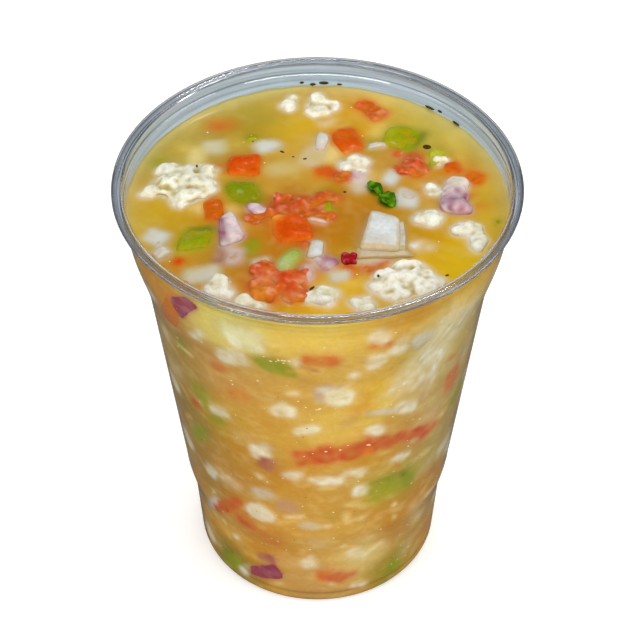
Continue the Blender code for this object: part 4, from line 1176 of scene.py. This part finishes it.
def seen_through(tree, colours, look, rays, spread):
    """The colour that shows from under one point, and how strongly, over a cone of rays."""
    point, inward, outside, reach, yellowing = look
    total, strength = np.zeros(3), 0.0
    start = point - inward * outside
    side = inward.orthogonal().normalized()
    other = inward.cross(side)
    for k in range(rays):
        away = spread * math.sqrt((k + 0.5) / rays)
        turn = RAY_TURN * k
        aim = inward + (side * math.cos(turn) + other * math.sin(turn)) * away
        _, _, face, far = tree.ray_cast(start, aim.normalized(), RAY_REACH)
        if face is not None:
            deep = max(far - outside, 0.0)
            kept = math.exp(-deep / reach)
            total += kept * colours[face] * np.exp(-deep * yellowing)
            strength += kept
    return total / max(strength, 1e-6), strength / rays


def clouded(points, on_top):
    """The juice's colour with its clouds, each of which pulls it to its own where it is near."""
    cloud = 0.5 + 0.8 * ripple(points, 14.0, 91) + 0.3 * ripple(points, 5.0, 92)
    total, weight = mixed(linear(JUICE_CLEAR), linear(JUICE_CLOUDY), cloud), np.ones(len(points))
    wander = points + 2.5 * np.column_stack([ripple(points, 6.0, 93 + i) for i in range(3)])
    pulls = []
    for x, y, radius, code in CLOUDS_ON_TOP:
        apart = (wander[:, 0] - x) ** 2 + (wander[:, 1] - y) ** 2
        pulls.append((apart, radius, code, on_top))
    back = []
    for column in range(BACK_COLUMNS):
        for row in range(BACK_ROWS):
            angle = BACK_FROM + BACK_STEP * (column + 0.4 * (row % 2))
            code = BACK_CLOUDS[(column + row) % len(BACK_CLOUDS)]
            back.append((angle, BACK_LOW + BACK_RISE * row, BACK_RADIUS, code))
    angles = np.degrees(np.arctan2(wander[:, 0], -wander[:, 1]))
    for angle, height, radius, code in [*CLOUDS_AT_WALL, *back]:
        turn = np.radians((angles - angle + 180.0) % 360.0 - 180.0)
        apart = (turn * skin_radius(points[:, 2])) ** 2 + (wander[:, 2] - height) ** 2
        pulls.append((apart, radius, code, ~on_top))
    for apart, radius, code, side in pulls:
        near = CLOUD_PULL * np.exp(-apart / radius**2) * side
        total, weight = total + near[:, None] * np.array(linear(code)[:3]), weight + near
    return total / weight[:, None] * np.where(on_top[:, None], SEEN_FROM_ABOVE, 1.0)


def juice_alone(points, on_top):
    """The juice's colour: cloudy, with pulp and amber streaks, a painted line of brown shade over
    the base's ring, and greyer along the wall at the back."""
    own = clouded(points, on_top)
    stretched = points * np.array([1.0, 1.0, 1.7])
    pulp = np.clip(ripple(stretched, 5.0, 95) + 0.6 * ripple(stretched, 2.2, 96), 0.0, 1.0)
    own = mixed(own, linear(JUICE_PULP), np.where(on_top, 0.2, 0.4) * pulp)
    amber = np.clip(ripple(stretched, 6.5, 97) + 0.4 * ripple(stretched, 2.6, 98), 0.0, 1.0)
    own = mixed(own, linear(JUICE_AMBER), 0.25 * amber)
    # a painted line of brown shade where the wall turns in over the base's ring
    ring = np.exp(-(((points[:, 2] - BASE_LINE) / 0.5) ** 2)) * ~on_top
    own = mixed(own, linear(JUICE_HEEL_SHADE), 0.6 * ring)
    edge = skin_radius(points[:, 2])
    near = np.exp((np.hypot(points[:, 0], points[:, 1]) - edge) / 2.2) * on_top
    return mixed(own, linear(JUICE_EDGE), 0.8 * near * smooth_step((points[:, 1] + 30.0) / 40.0))


def juice_tint(points, top_count):
    """Colour of every point of the juice: its own, stained by what lies under it. Also returns
    the tree that finds what lies there."""
    under, faces, colours = merged(sunk)
    tree = BVHTree.FromPolygons(under.tolist(), faces.tolist())
    colours = colours[faces].mean(axis=1)
    on_top = np.arange(len(points)) < top_count
    tint = juice_alone(points, on_top)
    haze = np.where(on_top, 1.0, np.clip(SIDE_HAZE + 0.35 * ripple(points, 2.4, 99), 0.4, 1.0))
    for i, point in enumerate(points):
        if i < top_count:
            look = (Vector((0.0, 0.0, -1.0)), RAYS_FROM_TOP, SEE_DOWN, TOP_YELLOWING)
        else:
            inward = -Vector((point[0], point[1], 0.0)).normalized()
            look = (inward, RAYS_FROM_SIDE, SEE_IN, SIDE_YELLOWING)
        halo, spread = seen_through(tree, colours, (Vector(point), *look), *WIDE_CONE)
        stain, strength = seen_through(tree, colours, (Vector(point), *look), *NARROW_CONE)
        strength *= haze[i]
        base = tint[i] * (1.0 - HALO * spread) + halo * HALO * spread
        tint[i] = base * (1.0 - strength) + stain * strength
    return tint, tree


def cloudy_juice(name, roughness, gloss, pulp):
    """Cloudy citrus juice with pulp: wet and smooth on top, with paler threads of pulp hanging
    just under the skin. Behind the wall the plastic has the gloss, and the juice is matt."""
    values = {
        "Roughness": roughness,
        "Specular IOR Level": gloss,
        "Subsurface Weight": JUICE_GLOW,
        "Subsurface Radius": (1.0, 0.7, 0.2),
        "Subsurface Scale": JUICE_DEPTH * MM,
    }
    pattern = {"Scale": PULP_THREADS, "Detail": 4.0, "Distortion": 1.5}
    return wet_surface(name, pattern, (0.35, 0.75, 1.0 - pulp, 1.0 + 1.5 * pulp), values)[0]


profile, counts, top_rings = juice_profile()
points, faces = turned(profile, counts)
top_count = 1 + sum(counts[: top_rings - 1])
points = clinging(points, top_count)
tint, tree = juice_tint(points, top_count)
for i in range(top_count):
    _, _, _, far = tree.find_nearest(Vector(points[i]), 4.0)
    climb = PIECE_CLIMB * math.exp(-far / PIECE_CLIMB_OVER) if far is not None else 0.0
    points[i, 2] += climb + CLIMB_RIPPLE * noise.noise(Vector(points[i]) / 5.0)
juice = dressed("juice", points, faces, tint, cloudy_juice("citrus_juice", 0.08, 0.12, 0.015))
juice.data.materials.append(cloudy_juice("citrus_juice_at_wall", 0.5, 0.1, 0.045))
behind_wall = [int(min(face) >= top_count) for face in faces]
juice.data.polygons.foreach_set("material_index", behind_wall)
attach(juice, "root")
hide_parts("salad")

# ---------------------------------------------------------------------------------------------
# The bubbles: small ones that chopping and pouring left, in the juice's surface, most of them
# beside the pieces, and between the juice and the wall. They are drawn as their caps, painted
# pale and bright as their glints.

BUBBLES_ON_TOP, BUBBLES_AT_WALL = 60, 260
LOWEST_BUBBLE, HIGHEST_BUBBLE = 5.0, 110.0
BUBBLE_GLINT = "F0E2B8"
# angle, height, spread, count
BUBBLE_CLUSTERS = ((-12.0, 102.6, 2.6, 9), (9.0, 67.6, 7.0, 6), (-4.0, 84.0, 3.0, 4))
parts = []
shape, faces = ball(2)
beside = CONCH_ON_TOP + TOMATO_ON_TOP + ORANGE_ON_TOP + GREEN_ON_TOP
for _ in range(BUBBLES_ON_TOP):
    x, y, length, width = draw.choice(beside)[:4]
    turn, size = draw.uniform(0.0, 2.0 * math.pi), draw.uniform(0.3, 0.7)
    away = 0.5 * math.hypot(length * math.cos(turn), width * math.sin(turn))
    away += draw.uniform(0.2, 0.6)
    x, y = x + away * math.cos(turn), y + away * math.sin(turn)
    parts.append((set_in(shape, at_surface(x, y, size, size, 0, 0.3 * size, size), 0.3), faces))
for _ in range(BUBBLES_AT_WALL):
    angle, height = draw.uniform(-180.0, 180.0), draw.uniform(LOWEST_BUBBLE, HIGHEST_BUBBLE)
    size = 0.3 + 0.5 * draw.random() ** 2
    length, turn = size * draw.uniform(1.0, 1.8), draw.uniform(-30.0, 30.0)
    place = at_wall(angle, height, length, size, turn, 0.0, size)
    parts.append((set_in(shape, place, -POKES_PAST_SKIN), faces))
for angle, height, spread, count in BUBBLE_CLUSTERS:
    for _ in range(count):
        size = draw.uniform(0.5, 1.0)
        place = angle + draw.gauss(0.0, spread), height + draw.gauss(0.0, 0.8)
        place = at_wall(*place, 1.5 * size, size, 0, 0.0, size)
        parts.append((set_in(shape, place, -POKES_PAST_SKIN), faces))
points, faces, _ = merged(parts)
# glossy, painted pale as their glints, and lit through by the juice round them
finish = wet_flesh("bubble_caps", roughness=0.1, glow=0.3, depth=1.0, grain=1.0, relief=0.02)
bubbles = dressed("bubbles", points, faces, painted(points, BUBBLE_GLINT), finish)
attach(bubbles, "root")

# ---------------------------------------------------------------------------------------------
# The stage: a plain white floor, soft light from above and in front, and the camera where the
# photo's was, about half a metre away and looking down by 43 degrees.

CAMERA_PITCH, CAMERA_FAR, CAMERA_AIM, CAMERA_LENS = 43.45, 545.0, 73.83, 121.6
AXIS_OFF_CENTRE = 2.5 / 640.0  # the cup's axis stands this share of the frame left of its middle

FLOOR_HALF = 4.0  # metres
# the paper's colour to the camera and the painted grey of light bouncing off it; the painted bluish
# grey behind the cup and grey beside it that show through the plastic; the painted dark grey near and
# far that the plastic mirrors, and far off shows through it
FLOOR_SEEN, FLOOR_LIT = "FCFCFC", "A6A6A4"
FLOOR_BEHIND, FLOOR_BESIDE = "C6DAE2", "8E929C"
FLOOR_NEAR, FLOOR_FAR = "5A5E64", "3A3C40"
FLOOR_GLOW = 0.18  # lifts the paper to the photo's blank white
LIT_TO, DARK_FROM = 0.12, 0.5  # metres from the cup
BEHIND, BEHIND_TO, BESIDE_FROM = (0.0, 0.17, 0.0), 0.03, 0.11  # a place and metres from it
SKY_LOW, SKY_HIGH, SKY_LIT_FROM = 0.15, 0.8, (0.0, -0.6, 0.8)  # brightest high in front
LIT_POINT = Vector((0.0, 0.0, 0.09))


def white_paper():
    """Matt white paper, shot as blank white. To rays that the plastic mirrors it is painted dark
    grey, standing in for a dark room, which draws the thin dark lines along the cup's edges; to
    rays through the plastic it is painted bluish grey where it lies behind the free wall, and to
    light bouncing off it a dimmer grey."""
    made, tree, shader = new_material("white_paper")
    place = add(tree, "ShaderNodeTexCoord").outputs["Object"]
    away = add(tree, "ShaderNodeVectorMath", {0: place}, operation="LENGTH").outputs["Value"]
    far = add(tree, "ShaderNodeMapRange", {0: away, 1: LIT_TO, 2: DARK_FROM}).outputs[0]
    ray = add(tree, "ShaderNodeLightPath").outputs

    def blend(share, first, second):
        return add(tree, "ShaderNodeMix", {0: share, 6: first, 7: second}, data_type="RGBA").outputs[2]

    mirrored = blend(far, linear(FLOOR_NEAR), linear(FLOOR_FAR))
    aside = add(tree, "ShaderNodeVectorMath", {0: place, 1: BEHIND}, operation="DISTANCE")
    aside = add(tree, "ShaderNodeMapRange", {0: aside.outputs["Value"], 1: BEHIND_TO, 2: BESIDE_FROM})
    through = blend(aside.outputs[0], linear(FLOOR_BEHIND), linear(FLOOR_BESIDE))
    through = blend(far, through, linear(FLOOR_FAR))
    tint = blend(ray["Is Diffuse Ray"], mirrored, linear(FLOOR_LIT))
    tint = blend(ray["Is Transmission Ray"], tint, through)
    tint = blend(ray["Is Camera Ray"], tint, linear(FLOOR_SEEN))
    tree.links.new(tint, shader.inputs["Base Color"])
    shader.inputs["Roughness"].default_value = 0.9
    shader.inputs["Specular IOR Level"].default_value = 0.0
    shader.inputs["Emission Color"].default_value = linear("FFFFFF")
    glow = add(tree, "ShaderNodeMath", {0: ray["Is Camera Ray"], 1: FLOOR_GLOW}, operation="MULTIPLY")
    tree.links.new(glow.outputs[0], shader.inputs["Emission Strength"])
    return made


floor_mesh = bpy.data.meshes.new("floor")
corners = [(x * FLOOR_HALF, y * FLOOR_HALF, 0) for x, y in ((-1, -1), (1, -1), (1, 1), (-1, 1))]
floor_mesh.from_pydata(corners, [], [(0, 1, 2, 3)])
floor_mesh.materials.append(white_paper())
floor = bpy.data.objects.new("floor", floor_mesh)
bpy.context.scene.collection.objects.link(floor)

world = bpy.data.worlds.new("studio")
bpy.context.scene.world = world
world.use_nodes = True
sky = world.node_tree
ahead = add(sky, "ShaderNodeTexCoord").outputs["Generated"]
lit_from = add(sky, "ShaderNodeVectorMath", {0: ahead, 1: SKY_LIT_FROM}, operation="DOT_PRODUCT")
lit_range = {0: lit_from.outputs["Value"], 1: 0.0, 2: 0.9, 3: SKY_LOW, 4: SKY_HIGH}
glow = add(sky, "ShaderNodeMapRange", lit_range)
sky.nodes["Background"].inputs["Color"].default_value = linear("FFFFFF")
sky.links.new(glow.outputs[0], sky.nodes["Background"].inputs["Strength"])


def soft_box(name, place, wide, tall, power):
    """An area light that faces the middle of the cup."""
    light = bpy.data.lights.new(name, "AREA")
    light.shape = "RECTANGLE"
    light.energy = power
    light.size, light.size_y = wide, tall
    made = bpy.data.objects.new(name, light)
    made.location = place
    made.rotation_euler = (LIT_POINT - Vector(place)).to_track_quat("-Z", "Y").to_euler()
    bpy.context.scene.collection.objects.link(made)
    return made


soft_box("key", (-0.35, -0.35, 0.75), 0.35, 0.35, 1.3)
soft_box("fill", (0.55, -0.35, 0.5), 0.5, 0.5, 1.5)
soft_box("front", (0.0, -0.75, 0.24), 1.3, 0.09, 3.1)
soft_box("left", (-0.7, -0.15, 0.2), 0.5, 0.3, 0.9)
soft_box("back", (0.0, 0.8, 0.24), 1.2, 0.3, 0.9)
soft_box("right", (0.7, -0.15, 0.2), 0.5, 0.3, 1.3)
soft_box("sparkle", (0.1, 0.36, 0.78), 0.3, 0.04, 1.2)
# a low one that lights the cup's back and shows in no gloss
behind = soft_box("behind", (0.0, 0.75, 0.1), 1.3, 0.12, 2.8)
behind.visible_glossy = False
behind.visible_transmission = False

camera = bpy.data.objects.new("camera", bpy.data.cameras.new("camera"))
pitch = math.radians(CAMERA_PITCH)
aim = Vector((0.0, 0.0, CAMERA_AIM * MM))
camera.location = aim + Vector((0.0, -math.cos(pitch), math.sin(pitch))) * CAMERA_FAR * MM
camera.rotation_euler = (aim - camera.location).to_track_quat("-Z", "Y").to_euler()
camera.data.lens = CAMERA_LENS
camera.data.shift_x = AXIS_OFF_CENTRE
camera.data.clip_start = 0.01
bpy.context.scene.collection.objects.link(camera)
bpy.context.scene.camera = camera
bpy.context.scene.view_settings.view_transform = "Standard"
